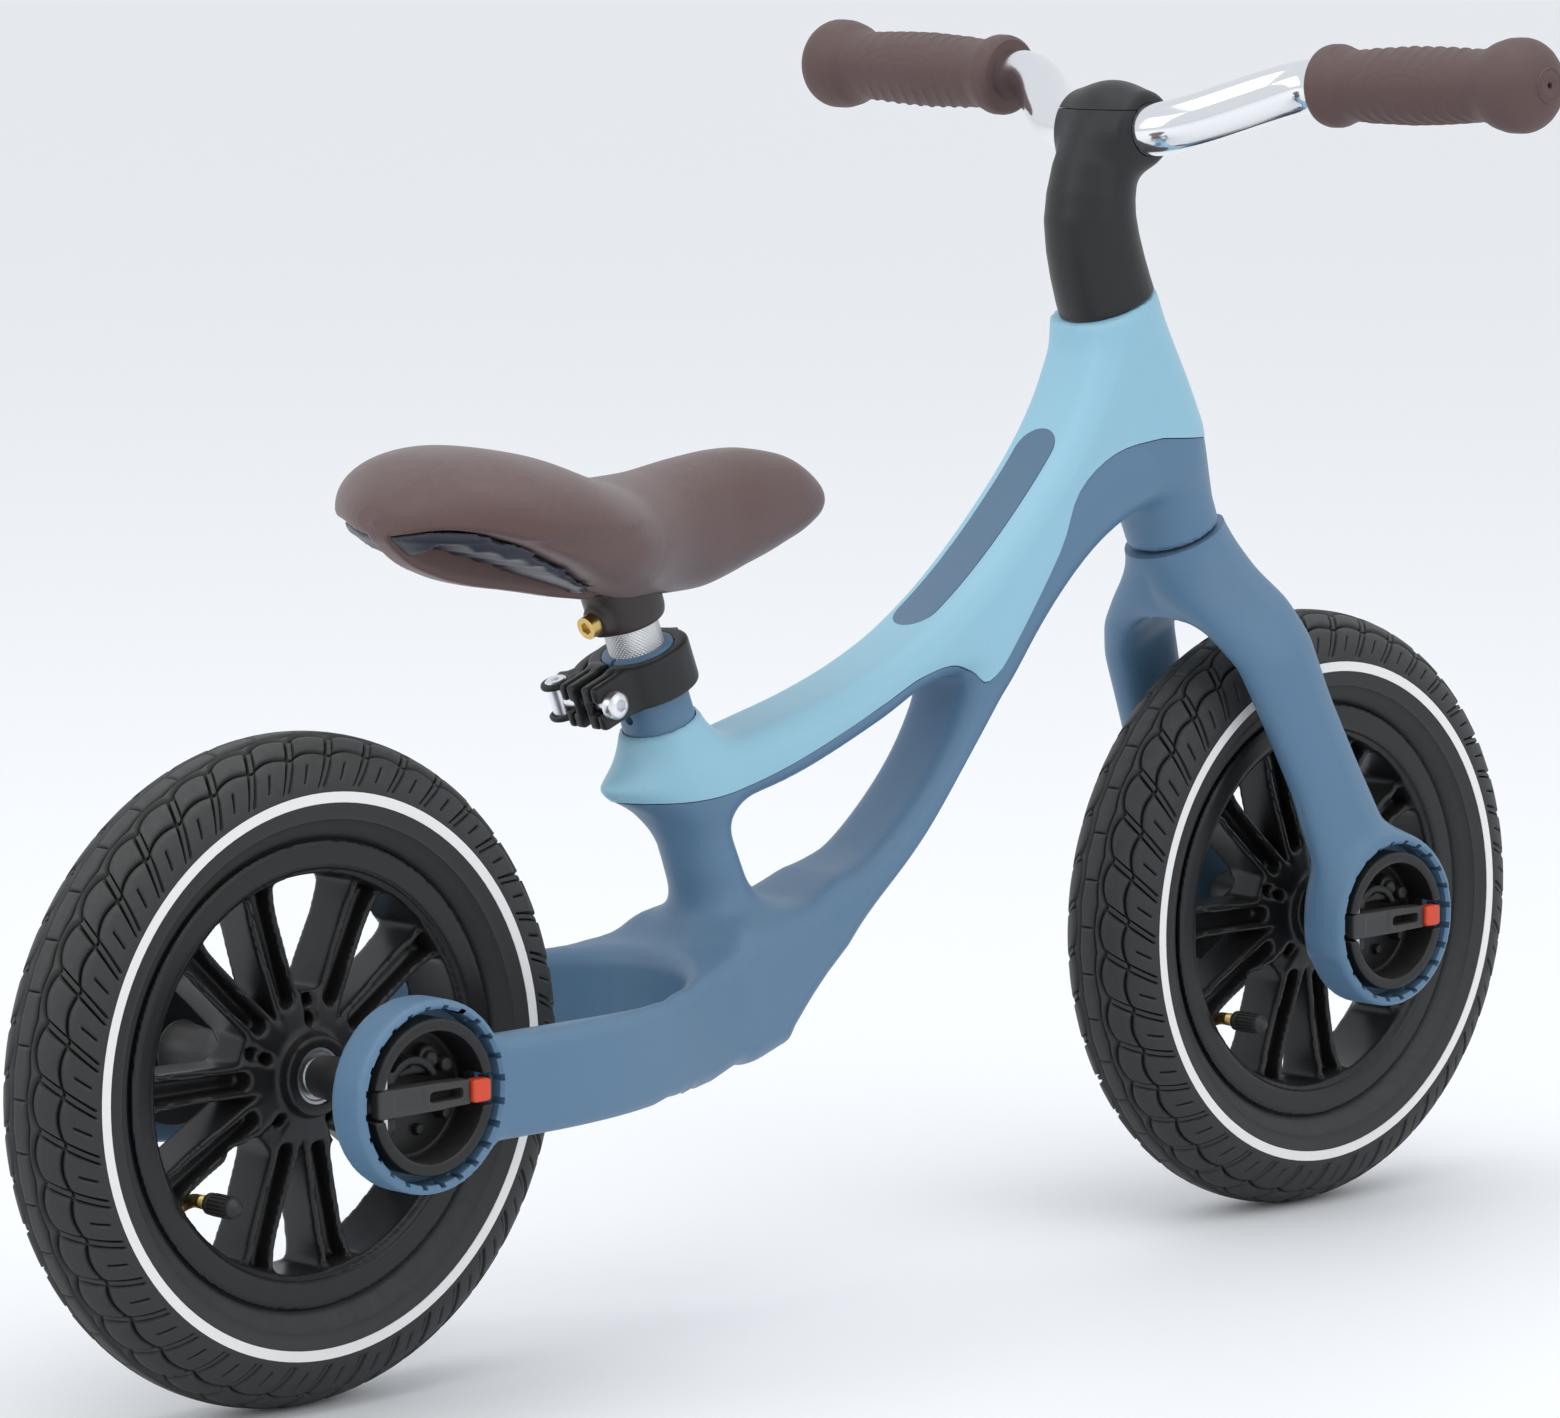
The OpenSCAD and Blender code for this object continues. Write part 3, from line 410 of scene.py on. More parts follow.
def plain_mesh(piece):
    """Applies what modifiers a piece has, and leaves a plain mesh."""
    graph = bpy.context.evaluated_depsgraph_get()
    mesh = bpy.data.meshes.new_from_object(piece.evaluated_get(graph))
    piece.modifiers.clear()
    piece.data = mesh
    return piece


def carve(piece, cutter, how="DIFFERENCE", keep=False, sharp_deg=40):
    """Cuts one closed solid by another, joins them, or keeps what they share."""
    uncut = piece.data
    for solver in ("MANIFOLD", "EXACT"):
        modifier = piece.modifiers.new("carve", "BOOLEAN")
        modifier.operation = how
        modifier.solver = solver
        modifier.object = cutter
        plain_mesh(piece)
        if len(piece.data.polygons) not in (0, len(uncut.polygons)):
            break
        piece.data = uncut
    else:
        raise RuntimeError(f"{cutter.name} changes nothing on {piece.name}")
    piece.data.materials.clear()
    piece.data.polygons.foreach_set("material_index", [0] * len(piece.data.polygons))
    piece.data.set_sharp_from_angle(angle=math.radians(sharp_deg))
    if not keep:
        bpy.data.objects.remove(cutter)
    return piece


def axis_frame(foot, axis):
    """Matrix whose Z runs along an axis from a foot, with X kept in the bike's middle plane."""
    z = Vector(axis).normalized()
    y = Vector((0, 1, 0)) if abs(z.y) < 0.9 else Vector((1, 0, 0))
    x = y.cross(z).normalized()
    y = z.cross(x)
    return Matrix.Translation(foot) @ Matrix((x, y, z)).transposed().to_4x4()


def turned(name, profile, place, turns=96, sharp_deg=30):
    """A closed solid turned from (radius, height) pairs in mm; the profile's ends lie on the axis."""
    ring = [Vector((math.cos(a), math.sin(a), 0))
            for a in np.linspace(0, 2 * math.pi, turns, endpoint=False)]
    points, faces, rows = [], [], []
    for radius, height in profile:
        if radius < 1e-6:
            rows.append([len(points)])
            points.append(place @ Vector((0, 0, height / 1000)))
        else:
            rows.append(list(range(len(points), len(points) + turns)))
            points += [place @ Vector((radius / 1000 * r.x, radius / 1000 * r.y, height / 1000))
                       for r in ring]
    closed = len(rows[0]) > 1
    pairs = list(zip(rows, rows[1:] + rows[:1])) if closed else list(zip(rows, rows[1:]))
    for low, high in pairs:
        for i in range(turns):
            j = (i + 1) % turns
            if len(low) == 1:
                faces.append((low[0], high[j], high[i]))
            elif len(high) == 1:
                faces.append((low[i], low[j], high[0]))
            else:
                faces.append((low[i], low[j], high[j], high[i]))
    piece = mesh_piece(name, points, faces, sharp_deg)
    outward(piece)
    return piece


def outward(piece):
    """Turns all faces of a closed mesh outwards."""
    shape = bmesh.new()
    shape.from_mesh(piece.data)
    bmesh.ops.recalc_face_normals(shape, faces=shape.faces)
    if shape.calc_volume(signed=True) < 0:
        bmesh.ops.reverse_faces(shape, faces=shape.faces)
    shape.to_mesh(piece.data)
    shape.free()
    return piece


def slab(name, loop, half, across="y", centre=0.0):
    """An outline in (x, z), or (x, y) when across is z, given a thickness; in mm."""
    n = len(loop)
    ends = []
    for side in (-1, 1):
        for u, v in loop:
            ends.append(to_frame((u, centre + side * half, v) if across == "y"
                                 else (u, v, centre + side * half)))
    faces = [tuple(range(n)), tuple(range(2 * n - 1, n - 1, -1))]
    faces += [(i, i + n, (i + 1) % n + n, (i + 1) % n) for i in range(n)]
    return outward(mesh_piece(name, ends, faces))


steer = joints["steering"]
head_place = axis_frame(Vector(steer["pos_m"]), steer["axis"])
head_len = 107.2
seat_axis = Vector(joints["seat_height"]["axis"])
seat_foot = to_frame((192, 0, 240))
seat_place = axis_frame(seat_foot, seat_axis)

frame_step = 1.7
low = np.array((-42.0, -90.0, 84.0))
high = np.array((512.0, 90.0, 408.0))
xs, ys, zs = (np.arange(a, b, frame_step) for a, b in zip(low, high))
side_x, side_z = np.meshgrid(xs, zs, indexing="ij")
plan_x, plan_y = np.meshgrid(xs, ys, indexing="ij")
width_y = np.abs(ys)[None, :, None]

top_tube = smooth_loop([(163, 214), (169, 221.5), (190, 228), (220, 232.5), (250, 239), (273, 245),
                        (298, 253.5), (323, 265), (349, 282), (375, 304), (400, 329.5), (416, 351),
                        (426, 371),
                        (435, 391), (466, 372), (484, 326), (462, 312), (420, 292), (388, 262), (366, 240),
                        (350, 246), (327, 243), (300, 231), (263, 217), (234, 209), (205, 203),
                        (182, 206.5)])
down_tube = smooth_loop([(205, 157), (232, 160.5), (256, 163.5), (290, 177), (312, 192), (332, 212),
                         (345, 232), (352, 250), (380, 290), (430, 330), (472, 322), (470, 312), (436, 301),
                         (400, 273), (375, 242.5), (350, 212), (325, 183), (300, 161), (275, 143),
                         (252, 127),
                         (236, 116), (205, 110)])
deck_side = [(-8, 145), (120, 145), (180, 149), (215, 156.5), (256, 162), (275, 170), (290, 170),
             (275, 146), (252, 128), (240, 118), (237, 111.5), (204, 109), (175, 105.5), (-8, 105.5)]
half_plan = smooth_loop([(-8, 84), (30, 84), (70, 83.5), (105, 78), (140, 66.5), (175, 50.5), (205, 38),
                         (235, 28.6), (262, 22.7), (300, 17)], is_open=True)
well_arc = [(90 + 96 * math.cos(a), 66 * math.sin(a)) for a in np.radians(np.arange(-90, 91, 7.5))]
deck_plan = (list(half_plan) + [(p[0], -p[1]) for p in reversed(half_plan)]
             + [(-8, -66)] + well_arc + [(-8, 66)])

top_half = np.interp(xs, [160, 172, 190, 215, 245, 300, 460], [7, 12, 16, 18.5, 20, 20, 20.5])
body = round_meet(outline_field(top_tube, side_x, side_z)[:, None, :],
                  width_y - top_half[:, None, None], 11.0)
lower_half = np.interp(xs, [205, 235, 262, 300, 380], [34, 27, 21.5, 20, 20])
lower = round_meet(outline_field(down_tube, side_x, side_z)[:, None, :],
                   width_y - lower_half[:, None, None], 9.5)
body = soft_union(body, lower, 7)
deck = round_meet(outline_field(np.array(deck_side, float), side_x, side_z)[:, None, :],
                  outline_field(np.array(deck_plan), plan_x, plan_y)[:, :, None], 7.0)
body = soft_union(body, deck, 12)


def along_axis(place):
    """Height along, distance from, and way ahead of an axis for every grid point, in mm."""
    inverse = place.inverted()
    foot_mm = np.array(to_frame((0, 0, 0))) * 1000
    grid = (xs[:, None, None] + foot_mm[0], ys[None, :, None], zs[None, None, :])
    local = [sum(inverse[r][c] * grid[c] for c in range(3)) + inverse[r][3] * 1000 for r in range(3)]
    return local[2], np.hypot(local[0], local[1]), local[0]


height, radius, ahead = along_axis(seat_place)
column = np.maximum(radius - np.interp(height, [-100, -75, -50, -30, -12, 0],
                                       [19, 15.2, 14.4, 15, 17.5, 16]),
                    np.abs(height + 48) - 48)
body = soft_union(body, column, 15)
height, radius, ahead = along_axis(head_place)
head_radius = np.interp(height, [0, 12, 28, 45, 62, 80, 107], [19.6, 19.8, 22, 23.6, 22.4, 21.0, 20.6])
head = np.maximum(radius - head_radius, np.abs(height - head_len / 2) - head_len / 2 + 0.6)
body = soft_union(body, head, 9)
body = np.maximum(body, -np.maximum(radius - 40, height - 0.8))
body = np.maximum(body, -np.maximum(radius - 40, head_len - 0.8 - height))
rear_mm = rear_hub.z * 1000
drum = np.hypot(xs[:, None, None], zs[None, None, :] - rear_mm) - 36.2
drum = round_meet(drum, np.abs(width_y - 75.2) - 9.3, 2.2) + 0 * ys[None, :, None]
body = np.maximum(soft_union(body, drum, 5), width_y - 84)
frame_body = skin("main_frame_body", body, low, frame_step, 40, evened=5)

cover_edge = [(140, 213), (175, 210), (200, 210.5), (225, 214), (250, 221.5), (275, 230.5), (300, 240.5),
              (317, 247.5), (335, 251), (349, 247.5), (356, 243), (370, 258), (395, 292), (408, 316),
              (429, 330), (456, 335), (540, 331), (540, 440), (140, 440)]
seam = 0.45


def cover_zone(name, lift):
    """The space over the cover's lower edge, lifted by the width of the seam."""
    edge = [tuple(p) for p in smooth_loop(cover_edge[:16], 4, is_open=True)] + cover_edge[16:]
    return slab(name, [(p[0], p[1] + lift) for p in edge], 100)


cover = skin("top_tube_cover_shell", body - 0.35, low, frame_step, 40, evened=3)
carve(cover, cover_zone("over_the_edge", seam), "INTERSECT")
carve(frame_body, cover_zone("cover_space", 0))


def rod(radius, low_end, high_end, place, bevel=0.0):
    """A round bar along an axis, for cutting with."""
    bevel = bevel or 0.001
    return turned("rod", [(0, low_end), (radius - bevel, low_end), (radius, low_end + bevel),
                          (radius, high_end - bevel), (radius - bevel, high_end), (0, high_end)], place)


def box_cutter(place, low_mm, high_mm):
    """A block between two corners given in mm in the axes of a place."""
    corners = [place @ Vector((x / 1000, y / 1000, z / 1000)) for z in (low_mm[2], high_mm[2])
               for x, y in ((low_mm[0], low_mm[1]), (high_mm[0], low_mm[1]),
                            (high_mm[0], high_mm[1]), (low_mm[0], high_mm[1]))]
    return outward(mesh_piece("block", corners, [(0, 3, 2, 1), (4, 5, 6, 7), (0, 1, 5, 4), (1, 2, 6, 5),
                                                 (2, 3, 7, 6), (3, 0, 4, 7)]))


# The seat tube rises through the cover, slit at the back so the clamp can close it
tube_r, clamp_at, clamp_h, post_r = 14.5, 23.0, 18.0, 11.1
tube_top = clamp_at + clamp_h / 2 + 1
carve(cover, rod(tube_r + seam, -60, 60, seat_place))
carve(frame_body, turned("seat_tube", [(0, -84), (tube_r - 1, -84), (tube_r, -80), (tube_r, tube_top - 1.2),
                                       (tube_r - 0.4, tube_top - 0.4), (tube_r - 1.2, tube_top),
                                       (0, tube_top)],
                         seat_place), "UNION")
carve(frame_body, rod(post_r + 0.15, -110.6, 60, seat_place))
backward = seat_place @ Matrix.Rotation(math.radians(-90), 4, "Y")
slit_foot = clamp_at - clamp_h / 2 - 6
carve(frame_body, rod(2.2, 5, 30, backward @ Matrix.Translation((slit_foot / 1000, 0, 0))))
carve(frame_body, box_cutter(seat_place, (-30, -1, slit_foot), (-5, 1, 50)))
carve(frame_body, rod(3.0, 5, 30, backward @ Matrix.Translation((-0.004, 0, 0))))

# Head: flat at both ends and bored for the headset
carve(frame_body, rod(27, -30, seam, head_place))
carve(frame_body, rod(17, -40, 140, head_place))
carve(cover, rod(30, head_len - seam, head_len + 40, head_place))
carve(cover, rod(17, -10, 140, head_place))

# Wheel rings: a stepped seat for the lock cup, notched all round its edge
cup_r, counter_r, ring_w, rear_track, fork_track = 29.2, 32.6, 18.0, 168.0, 121.0


def around_tree():
    """Geometry Nodes that set copies of one shape round an axle and weld them."""
    tree = bpy.data.node_groups.new("around_the_axle", "GeometryNodeTree")
    sockets = {}
    for label, kind in (("Shape", "Object"), ("Copies", "Int"), ("Centre", "Vector"),
                        ("Start Angle", "Float"),
                        ("Weld Distance", "Float"), ("Finish", "Material")):
        sockets[label] = tree.interface.new_socket(label, in_out="INPUT",
                                                   socket_type="NodeSocket" + kind).identifier
    tree.interface.new_socket("Geometry", in_out="OUTPUT", socket_type="NodeSocketGeometry")
    given, result = tree.nodes.new("NodeGroupInput"), tree.nodes.new("NodeGroupOutput")
    shape = tree.nodes.new("GeometryNodeObjectInfo")
    tree.links.new(given.outputs["Shape"], shape.inputs["Object"])
    line = tree.nodes.new("GeometryNodeMeshLine")
    tree.links.new(given.outputs["Copies"], line.inputs["Count"])
    tree.links.new(given.outputs["Centre"], line.inputs["Start Location"])
    line.inputs["Offset"].default_value = (0, 0, 0)
    turn = math_node(tree, "DIVIDE", 2 * math.pi, None)
    tree.links.new(given.outputs["Copies"], turn.node.inputs[1])
    turn = math_node(tree, "MULTIPLY", turn, tree.nodes.new("GeometryNodeInputIndex").outputs[0])
    turn = math_node(tree, "SUBTRACT", math_node(tree, "MULTIPLY", turn, -1.0),
                     given.outputs["Start Angle"])
    spin = tree.nodes.new("ShaderNodeCombineXYZ")
    tree.links.new(turn, spin.inputs["Y"])
    copies = tree.nodes.new("GeometryNodeInstanceOnPoints")
    tree.links.new(line.outputs["Mesh"], copies.inputs["Points"])
    tree.links.new(shape.outputs["Geometry"], copies.inputs["Instance"])
    tree.links.new(spin.outputs[0], copies.inputs["Rotation"])
    real = tree.nodes.new("GeometryNodeRealizeInstances")
    tree.links.new(copies.outputs[0], real.inputs[0])
    weld = tree.nodes.new("GeometryNodeMergeByDistance")
    tree.links.new(real.outputs[0], weld.inputs["Geometry"])
    tree.links.new(given.outputs["Weld Distance"], weld.inputs["Distance"])
    finish = tree.nodes.new("GeometryNodeSetMaterial")
    tree.links.new(weld.outputs[0], finish.inputs["Geometry"])
    tree.links.new(given.outputs["Finish"], finish.inputs["Material"])
    tree.links.new(finish.outputs[0], result.inputs[0])
    return tree, sockets


around, around_inputs = around_tree()


def set_around(name, shape, copies, centre, start=0.0, weld=0.0, finish=None, sharp_deg=30, keep=False):
    """Copies of a shape drawn about the origin, round an axle along Y, as one plain mesh."""
    piece = mesh_piece(name, [], [])
    values = {"Shape": shape, "Copies": copies, "Centre": tuple(centre), "Start Angle": start,
              "Weld Distance": weld, "Finish": finish}
    modifier = piece.modifiers.new("around", "NODES")
    modifier.node_group = around
    for label, value in values.items():
        modifier[around_inputs[label]] = value
    plain_mesh(piece)
    piece.data.set_sharp_from_angle(angle=math.radians(sharp_deg))
    if not keep:
        bpy.data.objects.remove(shape)
    return piece


def bore_rings(piece, hub, track, width):
    """Cuts the two cup seats of one axle, with their notched counterbores."""
    for side in (-1, 1):
        face = axis_frame(hub, (0, side, 0))
        out = track / 2 + 6
        carve(piece, turned("seat_cut", [(0, track / 2 - width - 1), (cup_r + 0.05, track / 2 - width - 1),
                                         (cup_r + 0.05, track / 2 - 12), (counter_r, track / 2 - 12),
                                         (counter_r, track / 2 - 1.2), (counter_r + 1.2, track / 2),
                                         (counter_r + 1.2, out), (0, out)], face))
        notch = box_cutter(Matrix.Identity(4), (counter_r - 2, side * (track / 2 - 7), -1.3),
                           (counter_r + 1.5, side * out, 1.3))
        carve(piece, set_around("notches", notch, 24, hub, 0.1))


bore_rings(frame_body, rear_hub, rear_track, ring_w)


def ribbon_block(name, curve, half_width, over, under):
    """A round-ended strip that follows a curve in the middle plane, with a given height."""
    curve = np.array(curve, float)
    way = np.concatenate([[0], np.cumsum(np.hypot(*np.diff(curve, axis=0).T))])
    slope = np.gradient(curve, axis=0)
    normal = np.stack([-slope[:, 1], slope[:, 0]], 1) / np.hypot(*slope.T)[:, None]
    bends = (1 - np.cos(np.linspace(0, math.pi / 2, 9)))[:-1] * half_width
    stations = np.concatenate([bends, np.arange(half_width, way[-1] - half_width, 3),
                               way[-1] - bends[::-1]])
    points, faces = [], []
    for s in stations:
        inset = max(half_width - s, half_width - (way[-1] - s), 0)
        wide = max(math.sqrt(max(half_width ** 2 - inset ** 2, 0)), 0.05)
        spot = np.array([np.interp(s, way, curve[:, k]) for k in (0, 1)])
        rise = np.array([np.interp(s, way, normal[:, k]) for k in (0, 1)])
        for lift, y in ((over, wide), (over, -wide), (-under, -wide), (-under, wide)):
            points.append(to_frame((spot[0] + rise[0] * lift, y, spot[1] + rise[1] * lift)))
    count = len(stations)
    for i in range(count - 1):
        for k in range(4):
            a, b = 4 * i + k, 4 * i + (k + 1) % 4
            faces.append((a, b, b + 4, a + 4))
    faces += [(0, 1, 2, 3), tuple(4 * (count - 1) + k for k in (3, 2, 1, 0))]
    return outward(mesh_piece(name, points, faces))


# Name strip on the back of the tube: a plain round-ended inlay, left blank
strip_line = smooth_loop([(326, 267), (349, 282), (375, 304), (390, 319), (400, 329.5), (409, 341)], 6,
                         is_open=True)


def twin(piece, name):
    """A second piece with the same mesh."""
    copy = piece.copy()
    copy.data = piece.data.copy()
    copy.name = name
    bpy.context.scene.collection.objects.link(copy)
    return copy


strip = twin(cover, "name_strip")
carve(strip, ribbon_block("strip_space", strip_line, 10.3, 6, 1.4), "INTERSECT")
carve(cover, ribbon_block("strip_well", strip_line, 10.7, 6, 1.5))

frame_blue = moulded_plastic("frame_blue", (0.088, 0.178, 0.285), 0.44, relief=0.06)
cover_blue = moulded_plastic("cover_blue", (0.27, 0.50, 0.62), 0.40, relief=0.05, dust=0.06)
strip_blue = moulded_plastic("strip_blue", (0.075, 0.15, 0.235), 0.34, relief=0.03, dust=0.04)


def fit(piece, finish, body, slot, *nodes):
    """Gives a piece its finish and the body it moves with, and hides the nodes it stands for; slot is not
    used.
    """
    if finish:
        piece.data.materials.append(finish)
    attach(piece, body)
    if nodes:
        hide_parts(*nodes)


fit(frame_body, frame_blue, "frame", "frame_blue", "main_frame")
fit(cover, cover_blue, "frame", "cover_blue", "top_tube_cover")
fit(strip, strip_blue, "frame", "badge_blue", "top_tube_badge")


# ---- fork ---------------------------------------------------------------------
# The fork is one moulding in the frame's colour: a short neck under the head, a
# crown arched over the tyre, two flat blades and the two rings that hold the
# lock cups.
def eased(x, table_x, table_y, blur=10.0):
    """A table read with its corners smoothed over a length."""
    fine = np.arange(min(table_x) - 3 * blur, max(table_x) + 3 * blur, 0.5)
    window = np.hanning(int(blur / 0.5) | 1)
    dense = np.interp(fine, table_x, table_y)
    pad = len(window) // 2
    dense = np.convolve(np.pad(dense, pad, "edge"), window / window.sum(), "valid")
    return np.interp(x, fine, dense)


fork_step = 1.5
low = np.array((462.0, -64.5, 84.0))
high = np.array((604.0, 64.6, 304.0))
xs, ys, zs = (np.arange(a, b, fork_step) for a, b in zip(low, high))
side_x, side_z = np.meshgrid(xs, zs, indexing="ij")
width_y = np.abs(ys)[None, :, None]
height, radius, ahead = along_axis(head_place)
down = -height
blade_out = fork_track / 2 - 11
blade_downs = [0, 6, 22, 36, 52, 80, 110, 140, 165, 185]
blade_ahead = eased(down, blade_downs, [0, 0, -2, -1, 0, 0, 1, 2, 3.5, 4])
blade_share = eased(down, blade_downs, [0, 0.12, 0.385, 0.625, 0.79, 0.86, 0.93, 0.97, 1, 1], 14)
blade_long = eased(down, blade_downs, [17, 17, 20, 20.5, 19, 17.5, 17.5, 20, 26, 30], 14)
blade_thick = eased(down, blade_downs, [12, 12, 13, 12, 10.5, 10, 10, 10, 9.7, 9.5])
along_blade = (ahead - blade_ahead) / blade_long
across_blade = (width_y - blade_share * blade_out) / blade_thick
ridge = np.where(across_blade > 0, 0.20 * np.abs(along_blade - 0.25), 0)
blade = ((np.abs(along_blade) ** 2.8 + np.abs(across_blade + ridge) ** 2.8) ** (1 / 2.8) - 1) * blade_thick
blade = np.maximum(blade, np.maximum(2 - down, down - 176))
neck_r = eased(down, [0, 10, 20, 34], [20.4, 19.6, 20.4, 21], 6)
neck = np.maximum(radius - neck_r, np.abs(down - 14) - 16)
fork_mass = soft_union(blade, neck, 12)
front_z = front_hub.z * 1000
front_x = (front_hub.x - foot_x) * 1000
from_axle = np.hypot(xs[:, None, None] - front_x, zs[None, None, :] - front_z)
drum = round_meet(from_axle - 36.2, np.abs(width_y - (fork_track / 2 - 10.5)) - 10.4, 2.4)
fork_mass = soft_union(fork_mass, drum + 0 * fork_mass, 9)
fork_mass = np.maximum(fork_mass, width_y - fork_track / 2)
fork_mass = soft_cut(fork_mass, round_meet(from_axle - 131.8, width_y - 26, 5) + 0 * fork_mass, 5)
fork_body = skin("fork_moulding", fork_mass, low, fork_step, 40, evened=4)
carve(fork_body, rod(40, -seam, 60, head_place))
carve(fork_body, rod(12.8, -24, 20, head_place))
bore_rings(fork_body, front_hub, fork_track, ring_w + 3)
fit(fork_body, frame_blue, "front_end", "frame_blue", "fork")


# ---- stem ----------------------------------------------------------------------
# A black swan-neck moulding that grips the bar, closed over it by a rounded cap
# of the same plastic.
stem_step = 1.2
low = np.array((410.0, -32.0, 378.0))
high = np.array((482.0, 32.1, 486.0))
xs, ys, zs = (np.arange(a, b, stem_step) for a, b in zip(low, high))
width_y = np.abs(ys)[None, :, None]
bar_x, bar_z, bar_r = 450.0, 462.0, 11.0
neck_line = []
for height_mm, ahead_mm, thick in ((104, 0, 20.4), (112, 0, 20.2), (122, 0.5, 19.9), (132, 1.6, 19.5),
                                   (142, 3.8, 19.0), (150, 7.5, 18.4), (158, 13.0, 17.8),
                                   (165, 20.0, 17.2)):
    spot = head_place @ Vector((ahead_mm / 1000, 0, height_mm / 1000))
    neck_line.append(((spot.x - foot_x) * 1000, spot.z * 1000, thick))
neck_line.append((bar_x, bar_z + 2.0, 16.9))
stem_mass = np.full((len(xs), len(ys), len(zs)), 1e9)
for a, b in zip(neck_line, neck_line[1:]):
    run = (b[0] - a[0], b[1] - a[1])
    share = np.clip(((xs[:, None, None] - a[0]) * run[0] + (zs[None, None, :] - a[1]) * run[1])
                    / (run[0] ** 2 + run[1] ** 2), 0, 1)
    gap = np.sqrt((xs[:, None, None] - a[0] - share * run[0]) ** 2 + width_y ** 2
                  + (zs[None, None, :] - a[1] - share * run[1]) ** 2)
    stem_mass = np.minimum(stem_mass, gap - a[2] - share * (b[2] - a[2]))
sleeve = np.hypot(xs[:, None, None] - bar_x, zs[None, None, :] - bar_z) - 15.6
sleeve = round_meet(sleeve, width_y - 20, 3.0)
stem_mass = soft_union(stem_mass, sleeve + 0 * stem_mass, 9)
stem_body = skin("stem_moulding", stem_mass, low, stem_step, 40, evened=3)
carve(stem_body, rod(40, 60, head_len + seam, head_place))
carve(stem_body, rod(12.8, 60, head_len + 38, head_place))
bar_axis = axis_frame(to_frame((bar_x, 0, bar_z)), (0, 1, 0))
carve(stem_body, rod(bar_r + 0.15, -60, 60, bar_axis))
cap_z = bar_z + 8
stem_cap = twin(stem_body, "stem_cap_moulding")
identity = Matrix.Translation(to_frame((0, 0, 0)))
carve(stem_body, box_cutter(identity, (380, -60, cap_z), (520, 60, 540)))
carve(stem_cap, box_cutter(identity, (380, -60, 300), (520, 60, cap_z + 0.35)))
black_plastic = moulded_plastic("black_plastic", (0.015, 0.015, 0.0155), 0.42, relief=0.10, drift=0.25,
                                worn=(0.06, 0.06, 0.06), wear=0.25, dust=0.04, gloss=0.34)
for piece, node in ((stem_body, "stem"), (stem_cap, "stem_cap")):
    fit(piece, black_plastic, "front_end", "black_plastic", node)


# ---- handlebar and grips --------------------------------------------------------
# A chromed steel tube, straight in the stem, with one bend forward and up each
# side; the grips are soft brown rubber with slanted ribs and a safety ball end.
def bar_point(y):
    """The bar's centre line at a distance to the left, in mm."""
    a = abs(y)
    t = max(0.0, min(1.0, (a - 20) / 65))
    rise = t * t * (3 - 2 * t)
    return Vector((bar_x + 32 * rise, y, bar_z + 18.5 * rise + 3 * max(0, a - 89) / 110))


def ring_stack(name, rings, sharp_deg=30):
    """A closed bar whose skin joins rings of as many points, flat at both ends."""
    n, count = len(rings[0]), len(rings)
    faces = [tuple(range(n)), tuple(range(count * n - 1, (count - 1) * n - 1, -1))]
    for i in range(count - 1):
        for k in range(n):
            a, b = i * n + k, i * n + (k + 1) % n
            faces.append((a, b, b + n, a + n))
    return outward(mesh_piece(name, [point for ring in rings for point in ring], faces, sharp_deg))


def swept(name, centres, radii, around=32, sharp_deg=30):
    """A round bar through points in mm from the rear wheel's foot."""
    rings = []
    count = len(centres)
    for i, centre in enumerate(centres):
        ahead_way = (centres[min(i + 1, count - 1)] - centres[max(i - 1, 0)]).normalized()
        aside = Vector((0.31, 0.05, 0.95)) if abs(ahead_way.z) < 0.9 else Vector((1, 0, 0))
        u = ahead_way.cross(aside).normalized()
        v = ahead_way.cross(u)
        turns = [2 * math.pi * k / around for k in range(around)]
        rings.append([to_frame(centre + radii[i] * (math.cos(t) * u + math.sin(t) * v)) for t in turns])
    return ring_stack(name, rings, sharp_deg)


handlebar = swept("handlebar_tube", [bar_point(y) for y in np.linspace(-191, 191, 97)], [bar_r] * 97, 40)


def bright_metal(name, colour, roughness, smudge=0.10, grains=90.0, relief=0.0, knurl=None):
    """Polished or plated metal with smudges and, where asked, a machined relief."""
    material, nodes, links, shader = new_material(name)
    tree = material.node_tree
    grain = add_group(tree, grain_group, Grains_Per_Metre=grains, Drift=0.10)
    scale = nodes.new("ShaderNodeVectorMath")
    scale.operation = "SCALE"
    scale.inputs[0].default_value = colour
    links.new(grain.outputs["Shade"], scale.inputs["Scale"])
    links.new(scale.outputs["Vector"], shader.inputs["Base Color"])
    haze = math_node(tree, "MULTIPLY", grain.outputs["Height"], smudge)
    links.new(math_node(tree, "ADD", haze, roughness, clamp=True), shader.inputs["Roughness"])
    shader.inputs["Metallic"].default_value = 1.0
    if relief or knurl:
        bump = nodes.new("ShaderNodeBump")
        bump.inputs["Distance"].default_value = 0.0003
        bump.inputs["Strength"].default_value = relief or 0.6
        links.new(knurl or grain.outputs["Height"], bump.inputs["Height"])
        links.new(bump.outputs["Normal"], shader.inputs["Normal"])
    return material


chrome = bright_metal("chrome_bar", (0.80, 0.81, 0.83), 0.05, 0.10)
fit(handlebar, chrome, "front_end", "chrome_bar", "handlebar")

